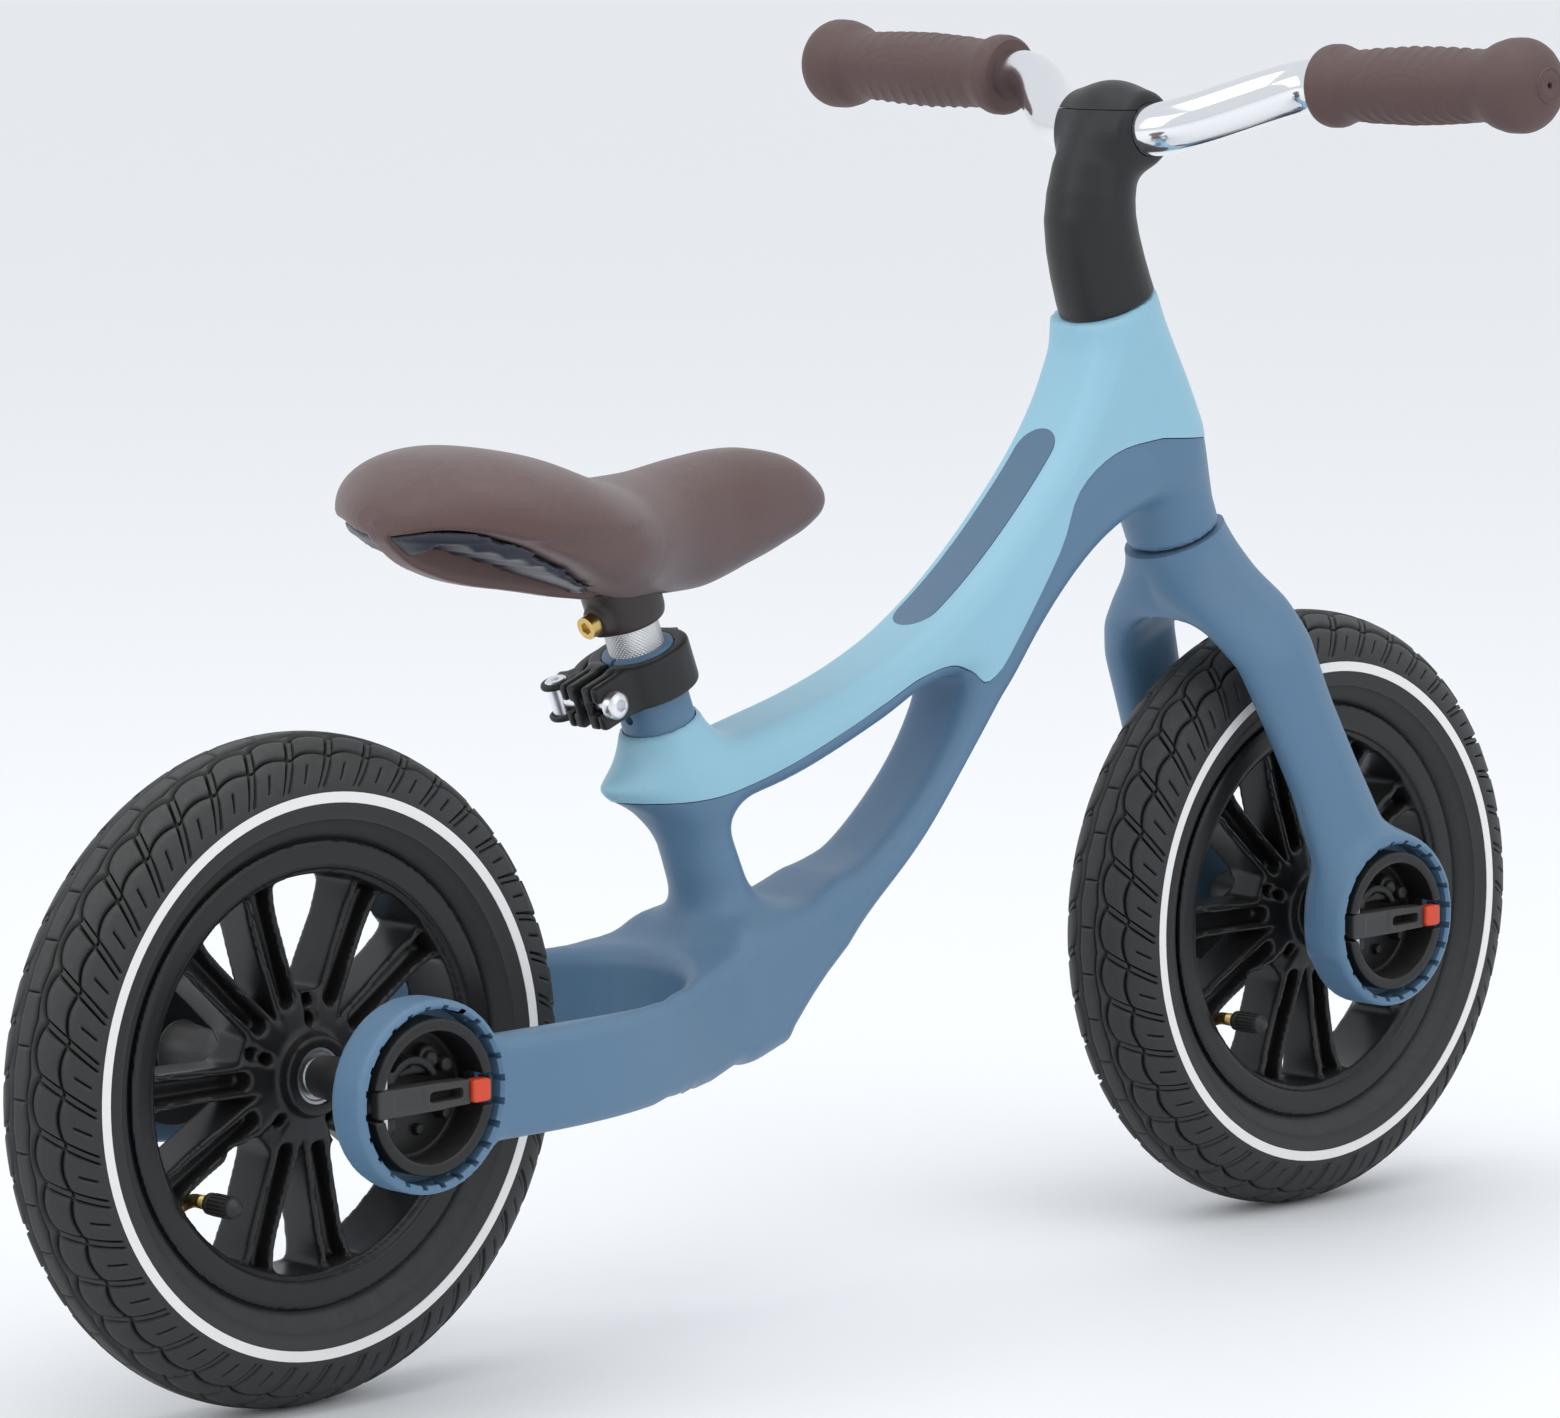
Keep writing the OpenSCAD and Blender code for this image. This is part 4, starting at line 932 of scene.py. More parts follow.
grip_len, grip_foot = 116.0, 89.0
grip_brown = moulded_plastic("grip_brown", (0.098, 0.055, 0.052), 0.62, relief=0.16, drift=0.12,
                             worn=(0.13, 0.078, 0.074), wear=0.3, dust=0.10)
heights = np.concatenate([np.linspace(0, 14, 13), np.linspace(15, 84, 93), np.linspace(85, 101, 18)])
shape_h = [0, 1.2, 3, 7.5, 11, 15, 28, 46, 62, 76, 84, 88, 92, 97, 102]
shape_r = [15.0, 16.3, 16.9, 16.9, 15.6, 14.4, 14.7, 15.4, 15.1, 14.4, 14.5, 15.6, 17.5, 18.8, 19.0]
for label, side in (("left", 1), ("right", -1)):
    foot = to_frame(bar_point(side * grip_foot))
    along = Vector((0, side * 0.99966, 0.0262))
    upward = Vector((0, -side * 0.0262, 0.99966))
    forward = Vector((1, 0, 0))
    rings = []
    angles = np.linspace(0, 2 * math.pi, 120, endpoint=False)
    for h in heights:
        r = float(np.interp(h, shape_h, shape_r))
        body_zone = np.clip((h - 18) / 6, 0, 1) * np.clip((82 - h) / 6, 0, 1)
        flank = np.clip(1.35 * np.abs(np.cos(angles)) - 0.35, 0, 1)
        slanted = np.cos(2 * math.pi * (h + 7.0 * np.cos(angles) * np.sin(angles)
                                        - 4 * np.sin(angles)) / 6.6)
        ribs = 0.55 * np.clip(slanted * 1.6 - 0.35, 0, 1) * flank * body_zone
        arc = np.minimum(np.abs(angles - 1.5 * math.pi), 2 * math.pi - np.abs(angles - 1.5 * math.pi)) * 15
        swirl = np.hypot((h - 50) / 30, arc / 11)
        lines = -0.22 * np.clip(1 - np.abs((swirl * 4) % 1 - 0.5) * 7, 0, 1) * (swirl < 1.1) * body_zone
        rings.append((h, r + ribs + lines))
    for turn in np.radians([6, 14, 22, 30, 38, 46, 54, 62, 70]):
        rings.append((grip_len - 14 + 14 * math.sin(turn), 19.0 * math.cos(turn) ** 0.9 + 0 * angles))
    for r, dip in ((6.9, 0), (6.3, 0.35), (5.8, 0.35), (5.2, 0), (3.2, -0.25), (2.6, 0.2), (1.3, 0.3),
                   (1.15, 5)):
        rings.append((grip_len + 0.1 - dip, r + 0 * angles))
    outlines = [math.cos(turn) * upward + math.sin(turn) * forward for turn in angles]
    skin_rings = [[foot + (along * h + reach * way) / 1000 for way, reach in zip(outlines, r.tolist())]
                  for h, r in rings]
    grip = ring_stack(f"grip_rubber_{label}", skin_rings, 50)
    fit(grip, grip_brown, "front_end", "grip_brown", f"grip_{label}")


# ---- tyres ------------------------------------------------------------------------
# Black rubber air tyres. One pitch of the tread, with its scalloped and slanted
# grooves, is drawn once and set forty times round the wheel.
tread_c, tyre_high, tyre_half = 105.5, 21.5, 22.5
pitches = 40
pitch_mm = 20.0
slope_turn = np.radians(np.linspace(90, -52, 300))
outer_r = tread_c + tyre_high * np.sin(slope_turn)
outer_y = tyre_half * np.cos(slope_turn).clip(0) ** 0.9
outer_way = np.concatenate([[0], np.cumsum(np.hypot(np.diff(outer_r), np.diff(outer_y)))])
scallop_1, scallop_2, centre_line, groove_end, tread_slant = 6.5, 17.0, 3.9, 31.4, 0.74
last_slant = tread_slant * 28.5 / 24.9
half_rows = [0, 1.4, 2.6, 3.3, 3.9, 4.5, 5.2, 5.75, 6.1, 6.5, 6.9, 7.25, 8.5, 10, 12, 14, 15.6, 16.25, 16.6,
             17, 17.4, 17.75, 19, 20.8, 22.4, 22.9, 25, 27, 29.3, 29.8, 30.7, 31.4, 32.1, 33.4, 35.2, 38, 41,
             43.6,
             44.3, 45.0, 48, 51.5, float(outer_way[-1])]
columns = [-10, -9.45, -8.9, -8, -6.5, -5, -3.5, -2.5, -2.0, -1.5, -1.0, -0.5, 0, 0.5, 1.0, 1.5, 2.0, 2.5,
           3.5, 5,
           6.5, 8, 8.9, 9.45, 10]


def groove(distance, half, depth):
    """A round-bottomed groove's depth at a distance from its middle."""
    return depth * np.clip(1.4 * (1 - np.abs(distance) / half), 0, 1)


def tread_depth(c, b):
    """How deep the tread is cut at a place along and across the tyre, in mm."""
    depth = max(groove(b - scallop_1, 0.95, 2.1), groove(b - scallop_2, 0.95, 2.1),
                groove(b - centre_line, 0.8, 1.5))
    if scallop_1 <= b <= groove_end:
        depth = max(depth, groove(abs(c) - 1.6, 0.75, 2.1), 0.5 if abs(c) < 1.5 else 0)
    if 22.9 <= b <= 29.3:
        depth = max(depth, groove(abs(c) - 10, 0.7, 1.5))
    if b < centre_line:
        depth = max(depth, groove(abs(c) - 10, 0.7, 1.2))
    if 43.6 < b < 45.0:
        depth = -0.5
    return depth


def tyre_point(c, b, side):
    """A point of the tyre's outer skin, along and across it, in metres."""
    cusp = np.interp(b, [0, centre_line, scallop_1, scallop_2, groove_end], [0, 0.7, 3.5, 2.6, 0])
    way = b + cusp * (1 - abs(c) / 10) ** 2
    r, y = np.interp(way, outer_way, outer_r), np.interp(way, outer_way, outer_y)
    fall = 0.05
    dr = np.interp(way + fall, outer_way, outer_r) - np.interp(way - fall, outer_way, outer_r)
    dy = np.interp(way + fall, outer_way, outer_y) - np.interp(way - fall, outer_way, outer_y)
    norm = max(math.hypot(dr, dy), 1e-9)
    depth = tread_depth(c, b)
    r, y = r - depth * dy / norm, y + depth * dr / norm
    slant = (tread_slant * max(b - scallop_1, 0) / (groove_end - scallop_1) if b < 35
             else last_slant)
    turn = (c / pitch_mm + slant) * 2 * math.pi / pitches
    return (r * math.cos(turn) / 1000, side * y / 1000, r * math.sin(turn) / 1000)


def closing_point(c, r, y, side):
    """A point of the tyre's inside, where its skin turns in to the rim."""
    turn = (c / pitch_mm + last_slant) * 2 * math.pi / pitches
    return (r * math.cos(turn) / 1000, side * y / 1000, r * math.sin(turn) / 1000)


inside_way = [(88.4, 13.4), (83.2, 12.6), (83.2, 9.2), (90, 14.5), (98, 18.4), (108, 18.6), (117, 13.5),
              (122.6, 5)]
rows = []
for side, way in ((1, half_rows[::-1]), (-1, half_rows[1:])):
    rows += [[tyre_point(c, b, side) for c in columns] for b in way]
rows += [[closing_point(c, r, y, -1) for c in columns] for r, y in inside_way]
rows += [[closing_point(c, r, y, 1) for c in columns] for r, y in inside_way[::-1]]
wide = len(columns)
points = [p for row in rows for p in row]
faces = [(i * wide + k, i * wide + k + 1, ((i + 1) % len(rows)) * wide + k + 1,
          ((i + 1) % len(rows)) * wide + k)
         for i in range(len(rows)) for k in range(wide - 1)]
one_pitch = outward(mesh_piece("one_pitch", points, faces, 180))

# The tyre's tread grooves get painted shade from the hollow darkening (amount 0.9).
tyre_rubber = moulded_plastic("tyre_rubber", (0.026, 0.0265, 0.0265), 0.56, grains=900.0, relief=0.14,
                              drift=0.5, gloss=0.34,
                              worn=(0.05, 0.05, 0.049), wear=0.5, dust=0.10, groove_shade=0.9)
tube_rubber = moulded_plastic("tube_rubber", (0.02, 0.02, 0.02), 0.5, relief=0.05)
band_white = moulded_plastic("band_white", (0.80, 0.80, 0.79), 0.45, relief=0.04, drift=0.03,
                             worn=(0.85, 0.85, 0.85), wear=0.1, dust=0.05)


def cad_finish(node, material):
    """Gives a carried-over node its finished material."""
    for slot in bpy.data.objects[node].material_slots:
        slot.material = material


wheels = (("rear", rear_hub, "rear_wheel"), ("front", front_hub, "front_wheel"))
for label, hub, body_name in wheels:
    tyre = set_around(f"{label}_tyre_rubber", one_pitch, pitches, hub, start=0.04, weld=0.00012,
                      finish=tyre_rubber, sharp_deg=60, keep=True)
    outward(tyre)
    fit(tyre, None, body_name, "tyre_rubber", f"{label}_tyre")
    cad_finish(f"{label}_inner_tube", tube_rubber)
    cad_finish(f"{label}_tyre_bands", band_white)
bpy.data.objects.remove(one_pitch)


# ---- rims -------------------------------------------------------------------------
# One-piece moulded nylon wheels: five pairs of spokes, each a deep channel with
# thin walls, run from a ribbed hub to a flat-lipped rim.
hub_r, hub_w, bearing_r, bearing_w = 15.5, 38.0, 11.0, 7.0
rim_step = 1.18
reach = 92.0
xs, zs = (np.arange(-reach, reach, rim_step) for _ in range(2))
ys = np.arange(-22.2, 22.21, rim_step)
side_x, side_z = np.meshgrid(xs, zs, indexing="ij")
width_y = np.abs(ys)[None, :, None]
flat_r = np.hypot(side_x, side_z)
spoke_turn = np.degrees(np.arctan2(side_z, side_x))
nearest = np.full(side_x.shape, 1e9)
along_spoke = np.zeros(side_x.shape)
for pair in range(5):
    for half in (-15, 15):
        a = math.radians(50 + 72 * pair + half)
        out = side_x * math.cos(a) + side_z * math.sin(a)
        off = np.abs(-side_x * math.sin(a) + side_z * math.cos(a))
        near = (off < nearest) & (out > 0)
        nearest = np.where(near, off, nearest)
        along_spoke = np.where(near, out, along_spoke)
half_wide = np.interp(along_spoke, [14, 40, 68, 76], [6.1, 6.3, 6.7, 7.8])
spoke_deep = np.interp(along_spoke, [14, 30, 60, 76], [13.5, 11.0, 9.8, 11.5])
spokes = round_meet((nearest - half_wide)[:, None, :], width_y - spoke_deep[:, None, :], 1.3)
spokes = np.maximum(spokes, (flat_r - 78)[:, None, :])
ring = round_meet((np.abs(flat_r - 81.6) - 6.4)[:, None, :], width_y - 17.0, 1.2)
bed = round_meet((np.abs(flat_r - 86.5) - 4.6)[:, None, :], width_y - 14.2, 1.5)
ring = soft_cut(ring, bed, 1.2)
lip_step = round_meet((np.abs(flat_r - 75.6) - 1.9)[:, None, :], -(width_y - 14.6), 1.0)
ring = np.maximum(ring, -lip_step)
hub = round_meet((flat_r - hub_r)[:, None, :], width_y - hub_w / 2, 1.2)
between = (spoke_turn - 86 + 36) % 72 - 36
web_r = np.interp(np.abs(between), [10, 20], [31.5, 23.5])
web = round_meet((flat_r - web_r)[:, None, :], width_y - 10.0, 1.5)
rim_mass = soft_union(ring, spokes, 3.5)
rim_mass = soft_union(rim_mass, web, 3)
rim_mass = soft_union(rim_mass, hub, 2.5)
channel = np.maximum(nearest - half_wide + 2.9, np.maximum(27 - along_spoke, along_spoke - 74.2))
corner = np.hypot(np.maximum(27 + 3 - along_spoke, 0), nearest)
channel = np.where(along_spoke < 30, np.maximum(channel, corner - half_wide + 2.9), channel)
channel = round_meet(channel[:, None, :], -(width_y - 2.6), 1.8)
rim_mass = soft_cut(rim_mass, channel, 0.9)
across = np.abs(between) * math.pi / 180 * flat_r - 2.1
window = np.maximum(across, np.minimum(np.abs(flat_r - 27.6) - 2.2, np.abs(flat_r - 20.6) - 2.0))
rim_mass = soft_cut(rim_mass, (window[:, None, :] + 0 * width_y), 1.0)
low = np.array((rear_hub.x - foot_x, rear_hub.y, rear_hub.z)) * 1000 + np.array((xs[0], ys[0], zs[0]))
rim_body = skin("rear_rim_moulding", rim_mass, low, rim_step, 42, evened=3)
for side in (-1, 1):
    face = axis_frame(rear_hub, (0, side, 0))
    carve(rim_body, rod(bearing_r, hub_w / 2 - bearing_w - 1, 40, face), sharp_deg=42)
carve(rim_body, rod(bearing_r - 2, -60, 60, axis_frame(rear_hub, (0, 1, 0))), sharp_deg=42)
valve_turn, valve_in, valve_hole = math.radians(220), 65.0, 3.2
valve_out = Vector((math.cos(valve_turn), 0, math.sin(valve_turn)))
carve(rim_body, rod(valve_hole, valve_in + 4, 100, axis_frame(rear_hub, valve_out)), sharp_deg=42)
rim_black = moulded_plastic("rim_black", (0.009, 0.009, 0.0095), 0.33, relief=0.05, drift=0.3,
                            worn=(0.04, 0.04, 0.04), wear=0.2, dust=0.03, gloss=0.36)
second_rim = twin(rim_body, "front_rim_moulding")
second_rim.data.transform(Matrix.Translation(front_hub - rear_hub))
fit(rim_body, rim_black, "rear_wheel", "black_plastic", "rear_rim")
fit(second_rim, rim_black, "front_wheel", "black_plastic", "front_rim")


# ---- wheel locks -------------------------------------------------------------------
# Each axle end sits in a black nylon cup with a hinged grey bar across its mouth,
# held shut by a red push button; the cup's floor carries the moulded latch work.
lock_step = 0.62
bar_h, bar_t = 11.0, 7.0
xs = zs = np.arange(-31, 31.2, lock_step)
ys = np.arange(-23.5, 3.2, lock_step)
low = (xs[0], ys[0], zs[0])
gx, gd, gz = np.meshgrid(xs, ys, zs, indexing="ij")
from_middle = np.hypot(gx, gz)


def block(x, z, d, half_x, half_z, half_d, radius):
    """A rounded block in the cup's own axes: across, up, and out towards the mouth."""
    flat = round_meet(np.abs(gx - x) - half_x, np.abs(gz - z) - half_z, radius)
    return round_meet(flat, np.abs(gd - d) - half_d, min(radius, 1.2))


def post(x, z, radius, top, edge=0.8):
    """A round upright of the lock, as a distance field."""
    return round_meet(np.hypot(gx - x, gz - z) - radius, np.abs(gd - (top - 20) / 2) - (top + 20) / 2, edge)


cup = round_meet(from_middle - cup_r, np.abs(gd + 10.75) - 10.75, 1.1)
cup = soft_cut(cup, round_meet(from_middle - 24.5, -(gd + 15.5), 1.6), 0.8)
cheeks = np.minimum(block(-21.3, 8.4, -11.5, 6, 2.5, 7, 0.6), block(-21.3, -8.4, -11.5, 6, 2.5, 7, 0.6))
cup = np.minimum(cup, np.maximum(cheeks, from_middle - cup_r + 0.4))
for x in (-27.0, 27.6):
    cup = np.maximum(cup, -block(x, 0, -3.5, 5.6, bar_h / 2 + 0.4, 7.0, 0.5))
arc = np.maximum(np.abs(np.hypot(gx + 3, gz - 2) - 11) - 1.6, np.maximum(5.8 - gz, np.abs(gd + 12.5) - 4.5))
lens = np.maximum(np.hypot(gx + 1, gz - 1) - 10.5, np.maximum(7.5 - gz, np.abs(gd + 13.5) - 4))
for boss in (arc, lens, post(6.5, 12.5, 5.0, -10.5), post(6.5, 12.5, 3.0, -8.6), post(13.5, 9.5, 2.9, -8.2),
             post(14.5, -8.5, 2.4, -9.5), post(-12, -12, 3.4, -12.6), post(4, -14, 2.2, -12.8)):
    cup = np.minimum(cup, np.maximum(boss, from_middle - 25))
cup = np.maximum(cup, -(np.maximum(np.hypot(gx, gz) - 4.0, np.abs(gd + 21) - 4.6)))
lock_bar = block(0.9, 0, -3.8, 27.9, bar_h / 2, bar_t / 2, 1.6)
lock_bar = np.maximum(lock_bar, np.abs(gz) - np.interp(gx, [-27, 0, 29], [5.5, 5.1, 4.3]))
lock_bar = np.maximum(lock_bar, -block(6, 0, -3.8, 8, 1.9, 8, 1.2))
lock_bar = np.maximum(lock_bar, -block(22.2, 0, -3.8, 4.75, 4.7, 8, 0.5))
lock_bar = np.maximum(lock_bar, -block(-27, 0, -7.2, 3.0, 8, 2.2, 0.5))
grip_face = np.maximum(np.abs(gx + 12) - 7, np.abs(gz) - 3.6)
lock_bar = np.maximum(lock_bar, -np.maximum(grip_face, -(gd + 0.75)))
button = block(22.2, 0, -1.5, 4.4, 4.4, 2.9, 1.7)

lock_black = moulded_plastic("lock_black", (0.010, 0.010, 0.0105), 0.38, gloss=0.34, relief=0.06, drift=0.2,
                             worn=(0.06, 0.06, 0.06), wear=0.35, dust=0.08)
bar_grey = moulded_plastic("lock_bar_grey", (0.034, 0.034, 0.033), 0.42, gloss=0.36, relief=0.08,
                           drift=0.15,
                           worn=(0.08, 0.08, 0.08), wear=0.4, dust=0.06)
button_red = moulded_plastic("button_red", (0.62, 0.052, 0.014), 0.30, relief=0.03, drift=0.06,
                             worn=(0.8, 0.14, 0.06), wear=0.4, dust=0.03)
steel = bright_metal("turned_steel", (0.56, 0.57, 0.58), 0.24, 0.25, 300.0, 0.12)
for label, hub, track in (("rear", rear_hub, rear_track), ("front", front_hub, fork_track)):
    for hand, side in (("left", 1), ("right", -1)):
        def at_mouth(p):
            return hub + Vector((p[0], side * (track / 2 - 0.5 + p[1]), p[2])) / 1000

        rides = {"cup": "frame" if label == "rear" else "front_end", "bar": f"{label}_bar_{hand}",
                 "button": f"{label}_catch_{hand}"}
        for part, field, finish, slot, node in (
                ("cup", cup, lock_black, "lock_grey", f"{label}_lock_cup_{hand}"),
                ("bar", lock_bar, bar_grey, "lock_grey", f"{label}_lock_bar_{hand}"),
                ("button", button, button_red, "button_red", f"{label}_button_{hand}")):
            piece = skin(f"{label}_{part}_{hand}_moulding", field, low, lock_step, 38, at_mouth)
            outward(piece)
            fit(piece, finish, rides[part], slot, node)
    cad_finish(f"{label}_lock_pins", steel)


# ---- axles, bearings and valves ------------------------------------------------------
# Steel axles run in sealed ball bearings between nylon sleeves; a bent brass valve
# stem with a ribbed cap comes through each rim.
sleeve_alloy = bright_metal("sleeve_alloy", (0.62, 0.63, 0.64), 0.35, 0.2, 500.0, 0.15)
bush_grey = moulded_plastic("bush_grey", (0.09, 0.09, 0.095), 0.45, relief=0.06)
brass = bright_metal("brass", (0.66, 0.47, 0.17), 0.22, 0.25, 220.0, 0.08)
sleeve_black = moulded_plastic("sleeve_black", (0.019, 0.019, 0.02), 0.36, relief=0.07, wear=0.3)
cap_black = moulded_plastic("cap_black", (0.014, 0.014, 0.014), 0.48, relief=0.10, wear=0.5,
                            worn=(0.05, 0.05, 0.05))
for label in ("rear", "front"):
    cad_finish(f"{label}_axle", steel)
    cad_finish(f"{label}_hub_spacer", sleeve_alloy)
for node in ("head_sleeve", "headset_lower_bush", "headset_upper_bush", "steerer", "stem_bolt"):
    cad_finish(node, {"head_sleeve": sleeve_alloy, "steerer": steel,
                      "stem_bolt": steel}.get(node, bush_grey))

for label, hub, body_name in wheels:
    track = rear_track if label == "rear" else fork_track
    races = sleeves = None
    for side in (-1, 1):
        face = axis_frame(hub, (0, side, 0))
        inner, outer = hub_w / 2 - bearing_w - 0.8, hub_w / 2 - 0.8
        race = turned("race", [(4.05, inner), (4.05, outer - 0.3), (4.4, outer), (6.2, outer),
                               (6.5, outer - 0.5),
                               (6.8, outer - 0.9), (9.0, outer - 0.9), (9.3, outer - 0.5), (9.6, outer),
                               (10.7, outer), (11.0, outer - 0.3), (11.0, inner)], face, 72)
        sleeve_top = track / 2 - 21.5 - 0.1
        foot_h = hub_w / 2 - 0.7
        sleeve = turned("sleeve", [(4.05, foot_h), (6.6, foot_h), (7.2, foot_h + 0.5), (8.0, foot_h + 2.0),
                                   (9.0, (foot_h + sleeve_top) / 2), (11.2, sleeve_top - 1.5),
                                   (11.8, sleeve_top - 0.5), (11.6, sleeve_top), (4.05, sleeve_top)],
                        face, 72)
        races = carve(races, race, "UNION") if races else race
        sleeves = carve(sleeves, sleeve, "UNION") if sleeves else sleeve
    races.name, sleeves.name = f"{label}_bearing_races", f"{label}_axle_sleeve_pair"
    fit(races, steel, body_name, "bright_steel", f"{label}_bearings")
    fit(sleeves, sleeve_black, "frame" if label == "rear" else "front_end", "black_plastic",
        f"{label}_axle_sleeves")

    hub_mm = Vector(((hub.x - foot_x) * 1000, 0, hub.z * 1000))
    line, radii = [], []
    for out in np.arange(96, 71.9, -1.2):
        line.append(hub_mm + valve_out * float(out))
        radii.append(2.6 if out < 80 else 2.75)
    for turn in np.radians(np.arange(7.5, 90, 7.5)):
        line.append(hub_mm + valve_out * (72 - 7 * math.sin(turn))
                    + Vector((0, -7 * (1 - math.cos(turn)), 0)))
        radii.append(2.6)
    for k, y in enumerate(np.arange(7, 26.9, 0.45)):
        line.append(hub_mm + valve_out * 65 + Vector((0, -float(y), 0)))
        radii.append(2.6 if y < 9.5 or y > 14.5 else (2.7 if k % 2 else 2.4))
    stem = swept(f"{label}_valve_tube", line, radii, 28, 50)
    fit(stem, brass, body_name, "brass", f"{label}_valve_stem")
    cap_face = axis_frame(hub + valve_out * 0.065, (0, -1, 0))
    rings = [(2.7, 14.1), (3.9, 14.1), (4.15, 14.5), (4.2, 16), (3.9, 16.4), (3.95, 17), (3.95, 27.5),
             (3.6, 28.6),
             (2.7, 29.4), (1.6, 30.6), (0, 30.8)]
    cap = turned(f"{label}_valve_cap_ribbed", [(0, 26.9), (2.7, 26.9)] + rings, cap_face, 72, 40)
    rib = box_cutter(Matrix.Identity(4), (3.7, -27.2, -0.32), (4.35, -17.2, 0.32))
    ribs = set_around("cap_ribs", rib, 18, hub + valve_out * 0.065)
    carve(cap, ribs, "UNION")
    fit(cap, cap_black, body_name, "black_plastic", f"{label}_valve_cap")


# ---- seat post and clamp ----------------------------------------------------------------
# A knurled steel post slides in the slit seat tube, gripped by a black nylon band
# with two ears, a zinc bolt and a cam lever that wraps round the left side.
post_angles = np.linspace(0, 2 * math.pi, 176, endpoint=False)
post_rows = [(-98.9, 0), (-97.7, 1)] + [(h, 1) for h in np.arange(-95, 30, 12.5)]
post_rows += [(h, 2) for h in np.arange(31, 47.1, 0.4)] + [(62.0, 1), (63.0, 0)]
post_rings = []
for h, kind in post_rows:
    arcs = post_angles * 44
    relief = 0 * arcs if kind < 2 else -0.32 * (np.maximum(np.abs(np.sin((arcs + h * 3.9) / 2)) < 0.28,
                                                           np.abs(np.sin((arcs - h * 3.9) / 2)) < 0.28))
    ring = []
    for turn, dip in zip(post_angles, relief.tolist()):
        r = (post_r - 0.02 - (1.0 if kind == 0 else 0) + dip) / 1000
        ring.append(seat_place @ Vector((r * math.cos(turn), r * math.sin(turn), h / 1000)))
    post_rings.append(ring)
seat_pillar = ring_stack("knurled_post", post_rings, 25)
post_steel = bright_metal("knurled_steel", (0.74, 0.75, 0.76), 0.30, 0.2, 600.0, 0.1)
fit(seat_pillar, post_steel, "seat", "knurled_steel", "seat_post")

band_step = 0.75
clamp_place = seat_place @ Matrix.Translation((0, 0, clamp_at / 1000))
xs, ys, zs = np.arange(-38, 33, band_step), np.arange(-24, 33, band_step), np.arange(-12, 12.1, band_step)
gx, gy, gz = np.meshgrid(xs, ys, zs, indexing="ij")


def on_band(p):
    """Sets a point of the clamp, in mm, in its place on the frame."""
    return clamp_place @ Vector((p[0] / 1000, p[1] / 1000, p[2] / 1000))


from_middle = np.hypot(gx, gy)
band = round_meet(from_middle - 20.2, np.abs(gz) - 9, 1.5)
ears = round_meet(round_meet(np.abs(gx + 25) - 10, np.abs(gy) - 11, 2.2), np.abs(gz) - 9, 1.6)
band = soft_union(band, ears, 3)
band = np.maximum(band, -(from_middle - 14.6))
band = soft_cut(band, np.maximum(np.abs(gy) - 2.0, gx + 12), 0.6)
band = np.maximum(band, -(np.hypot(gx + 29, gz) - 3.15))
band = soft_cut(band, np.maximum(np.abs(gz) - 2.6, np.maximum(gx + 30.5, 4.5 - np.abs(gy))), 0.8)
band = soft_cut(band, np.maximum(np.abs(np.abs(gy) - 6.7) - 0.5, gx + 20), 0.5)
collar = skin("clamp_band", band, (xs[0], ys[0], zs[0]), band_step, 40, on_band)
fit(collar, black_plastic, "frame", "black_plastic", "seat_clamp_collar")

hook = round_meet(np.abs(from_middle - 26.1) - 2.5, np.abs(gz) - 4.9, 1.4)
turn = np.degrees(np.arctan2(gy, gx))
hook = np.maximum(hook, np.maximum(12 - turn, turn - 136) * 0.42)
cam = round_meet(np.hypot(gx + 29, gy - 18) - 6.4, np.abs(gz) - 7.9, 1.2)
tilt = math.radians(22)
web_x = (gx + 29) * math.cos(tilt) + (gy - 18) * math.sin(tilt)
web_y = -(gx + 29) * math.sin(tilt) + (gy - 18) * math.cos(tilt)
web = round_meet(round_meet(np.abs(web_x - 8) - 8, np.abs(web_y - 3.2) - 3.2, 1.0), np.abs(gz) - 4.9, 1.2)
hook = soft_union(soft_union(hook, web, 2.5), cam, 2)
hook = np.maximum(hook, -(np.hypot(gx + 29, gy - 18) - 4.65))
hook = np.maximum(hook, -np.maximum(np.abs(gz) - 5.5,
                                    np.maximum(np.abs(gx + 36) - 13, np.abs(gy - 12) - 6)))
hook = np.maximum(hook, -np.maximum(np.abs(gz) - 5.5,
                                    np.maximum(np.abs(gx + 39) - 10.3, np.abs(gy - 16) - 10)))
lever = skin("clamp_hook_lever", hook, (xs[0], ys[0], zs[0]), band_step, 40, on_band)
fit(lever, black_plastic, "clamp_cam", "black_plastic", "clamp_lever")

bolt_axis = axis_frame(clamp_place @ Vector((-0.029, 0, 0)), (0, 1, 0))
bolt = turned("clamp_screw", [(0, -16.2), (2.6, -16.2), (4.6, -15.6), (5.5, -14.4), (5.5, -11.3),
                              (5.2, -11.05),
                              (3.0, -11.05), (3.0, 13.2), (0, 13.2)], bolt_axis, 48)
carve(bolt, turned("hex", [(0, -20), (2.7, -20), (2.7, -13.4), (0, -13.4)], bolt_axis, 6))
zinc = bright_metal("zinc_plate", (0.80, 0.81, 0.84), 0.16, 0.3, 160.0, 0.1)
fit(bolt, zinc, "frame", "bright_steel", "clamp_bolt")
nut_axis = clamp_place @ Matrix.Translation((-0.029, 0.018, 0))
nut = turned("clamp_nut", [(0, -8.4), (3.8, -8.4), (4.4, -7.9), (4.4, 7.9), (3.8, 8.4), (1.6, 8.4),
                           (1.4, 7.4),
                           (0, 7.2)], nut_axis, 48)
fit(nut, zinc, "clamp_cam", "bright_steel", "clamp_barrel")


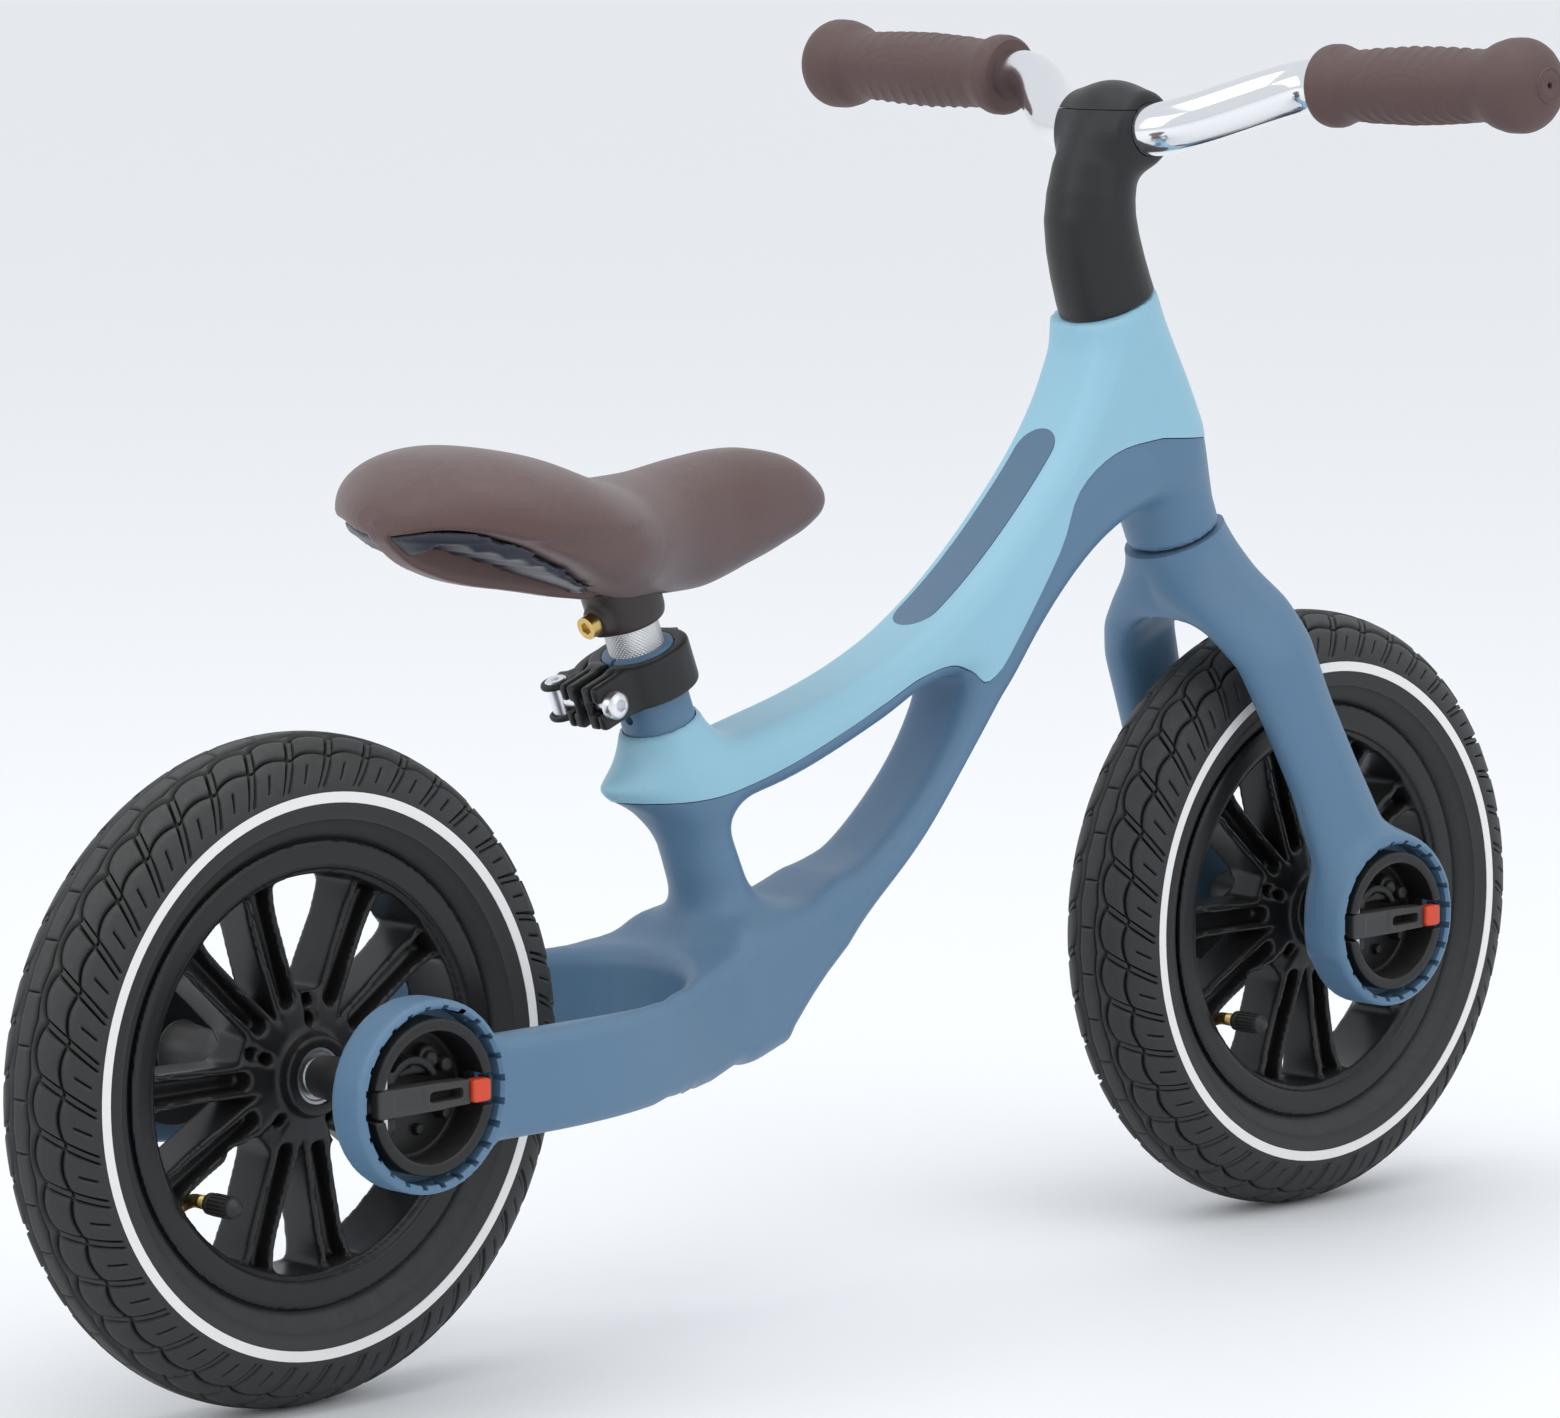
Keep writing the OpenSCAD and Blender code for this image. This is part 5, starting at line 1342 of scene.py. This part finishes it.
# ---- saddle -------------------------------------------------------------------------------
# A moulded foam saddle in soft brown skin over a navy nylon base, whose leaf-shaped
# hand slots show in both flanks; a socket under it takes the post.
saddle_step = 1.15
xs = np.arange(38, 290, saddle_step)
ys = np.arange(-66, 66.1, saddle_step)
zs = np.arange(283, 360, saddle_step)
gx, gy, gz = np.meshgrid(xs, ys, zs, indexing="ij", sparse=True)
share = [0, 0.03, 0.09, 0.17, 0.27, 0.37, 0.47, 0.58, 0.7, 0.8, 0.9, 0.96, 1.0]


def through(x, table_x, table_y):
    """A table read along a smooth curve through its points."""
    curve = smooth_loop(list(zip(table_x, table_y)), 12, is_open=True)
    return np.interp(x, curve[:, 0], curve[:, 1])


row_x = [46 + 233.5 * s for s in share]
half_w = [0, 26, 46, 57.5, 61, 56.5, 44, 31, 23.6, 21, 16.8, 11.6, 0]
half_h = [0, 13.5, 22.5, 26.8, 27.0, 25.0, 23.2, 24.0, 25.8, 23.2, 17.3, 10.5, 0]
middle = [329, 330, 330.3, 328.3, 324.3, 318.4, 313.9, 314.6, 317.5, 321.7, 323.5, 322.5, 321]
wide = np.sqrt(through(xs, row_x, np.square(half_w)).clip(0.01))[:, None, None]
tall = np.sqrt(through(xs, row_x, np.square(half_h)).clip(0.01))[:, None, None]
mid = eased(xs, row_x, middle, 16)[:, None, None]
lift = (gz - mid) / tall
squeeze = 1 - 0.10 * np.clip(-lift, 0, 1) - 0.07 * np.clip(lift, 0, 1) ** 2
seat_mass = ((np.abs(gy / (wide * squeeze)) ** 2.35 + np.abs(lift) ** 2.15) ** (1 / 2.25) - 1)
seat_mass = seat_mass * np.minimum(np.minimum(wide, tall), 20)
panel = np.clip((322.5 - gz + 0.05 * (gx - 60)) / 2.0, 0, 1) * np.clip((150 - gx) / 30, 0, 1)
seat_mass = seat_mass + 0.9 * panel
side_x, side_z = np.meshgrid(xs, zs, indexing="ij")
leaf = smooth_loop([(42, 316), (48, 323.5), (57, 327), (71, 324.5), (97, 314.5), (127, 303.0), (164, 289),
                    (150, 280), (110, 293.5), (80, 297.5), (60, 301), (49, 307)], 5)
leaf_field = outline_field(leaf, side_x, side_z)[:, None, :]
cushion = soft_cut(seat_mass, np.maximum(leaf_field, 6 - np.abs(gy)) + 0 * seat_mass, 2.4)
socket_place = seat_place @ Matrix.Translation((0, 0, 0.044))
height, radius, ahead = along_axis(socket_place)
cushion = np.maximum(cushion, -np.maximum(radius - 16.2, height - 19.5))
base_mass = np.maximum(seat_mass + 1.8, np.maximum(leaf_field + 0.7, 5 - np.abs(gy)))
slot_top = 319.5 - 0.30 * (gx - 62) + 1.6 * np.abs(np.sin((gx - 58) * math.pi / 11)) * (gx < 104)
slot_low = 304 - 0.12 * (gx - 62)
hand_slot = np.maximum(np.maximum(gz - slot_top, slot_low - gz), np.maximum(58 - gx, gx - 138))
hand_slot = np.maximum(hand_slot + 0 * seat_mass, -(seat_mass + 14))
base_mass = soft_cut(base_mass, hand_slot, 0.8)
low = np.array((xs[0], ys[0], zs[0]))
saddle = skin("saddle_pad", cushion, low, saddle_step, 60)
base = skin("saddle_base_moulding", base_mass, low, saddle_step, 50)

leather_group, group_in, group_out = new_group(
    "leather_grain", [("Cells Per Metre", "NodeSocketFloat", 900.0)], [("Height", "NodeSocketFloat")])
place = leather_group.nodes.new("ShaderNodeTexCoord").outputs["Object"]
cells = leather_group.nodes.new("ShaderNodeTexVoronoi")
cells.feature = "SMOOTH_F1"
leather_group.links.new(place, cells.inputs["Vector"])
leather_group.links.new(group_in.outputs["Cells Per Metre"], cells.inputs["Scale"])
creases = noise_node(leather_group, place, 320.0, 4.0)
leather_group.links.new(math_node(leather_group, "ADD", cells.outputs["Distance"],
                                  math_node(leather_group, "MULTIPLY", creases, 0.6)),
                        group_out.inputs["Height"])
saddle_brown = moulded_plastic("saddle_brown", (0.098, 0.052, 0.049), 0.47, relief=0.05, drift=0.14,
                               worn=(0.13, 0.078, 0.072), wear=0.2, dust=0.10)
tree = saddle_brown.node_tree
bumps = [node for node in tree.nodes if node.bl_idname == "ShaderNodeBump"][0]
leather = add_group(tree, leather_group, Cells_Per_Metre=1000.0)
tree.links.new(leather.outputs["Height"], bumps.inputs["Height"])
bumps.inputs["Strength"].default_value = 0.22
tree.nodes["Principled BSDF"].inputs["Sheen Weight"].default_value = 0.12
tree.nodes["Principled BSDF"].inputs["Sheen Roughness"].default_value = 0.5
fit(saddle, saddle_brown, "seat", "saddle_brown", "saddle_cushion")
base_navy = moulded_plastic("base_navy", (0.020, 0.022, 0.036), 0.40, relief=0.08, drift=0.15,
                            worn=(0.06, 0.065, 0.09), wear=0.3, dust=0.08)
fit(base, base_navy, "seat", "base_navy", "saddle_base")

xs, ys, zs = np.arange(150, 202, band_step), np.arange(-20, 20.1, band_step), np.arange(270, 312, band_step)
height, radius, ahead = along_axis(socket_place)
width_y = np.abs(ys)[None, :, None]
cone = round_meet(radius - np.interp(height, [0, 4, 19], [14.6, 15.4, 15.6]), np.abs(height - 9.5) - 9.5,
                  1.6)
bolt_boss = round_meet(np.hypot(width_y + 0 * height, height - 7) - 6.2, np.abs(ahead + 8) - 9.2, 1.2)
cone = soft_union(cone, bolt_boss, 3.0)
cone = np.maximum(cone, -(radius - 11.2))
socket = skin("saddle_socket_moulding", cone, (xs[0], ys[0], zs[0]), band_step, 40)
socket_brown = moulded_plastic("socket_brown", (0.030, 0.021, 0.020), 0.42, relief=0.10, drift=0.2,
                               worn=(0.07, 0.05, 0.05), wear=0.3, dust=0.06)
fit(socket, socket_brown, "seat", "socket_brown", "saddle_socket")
cad_finish("saddle_bolt", brass)
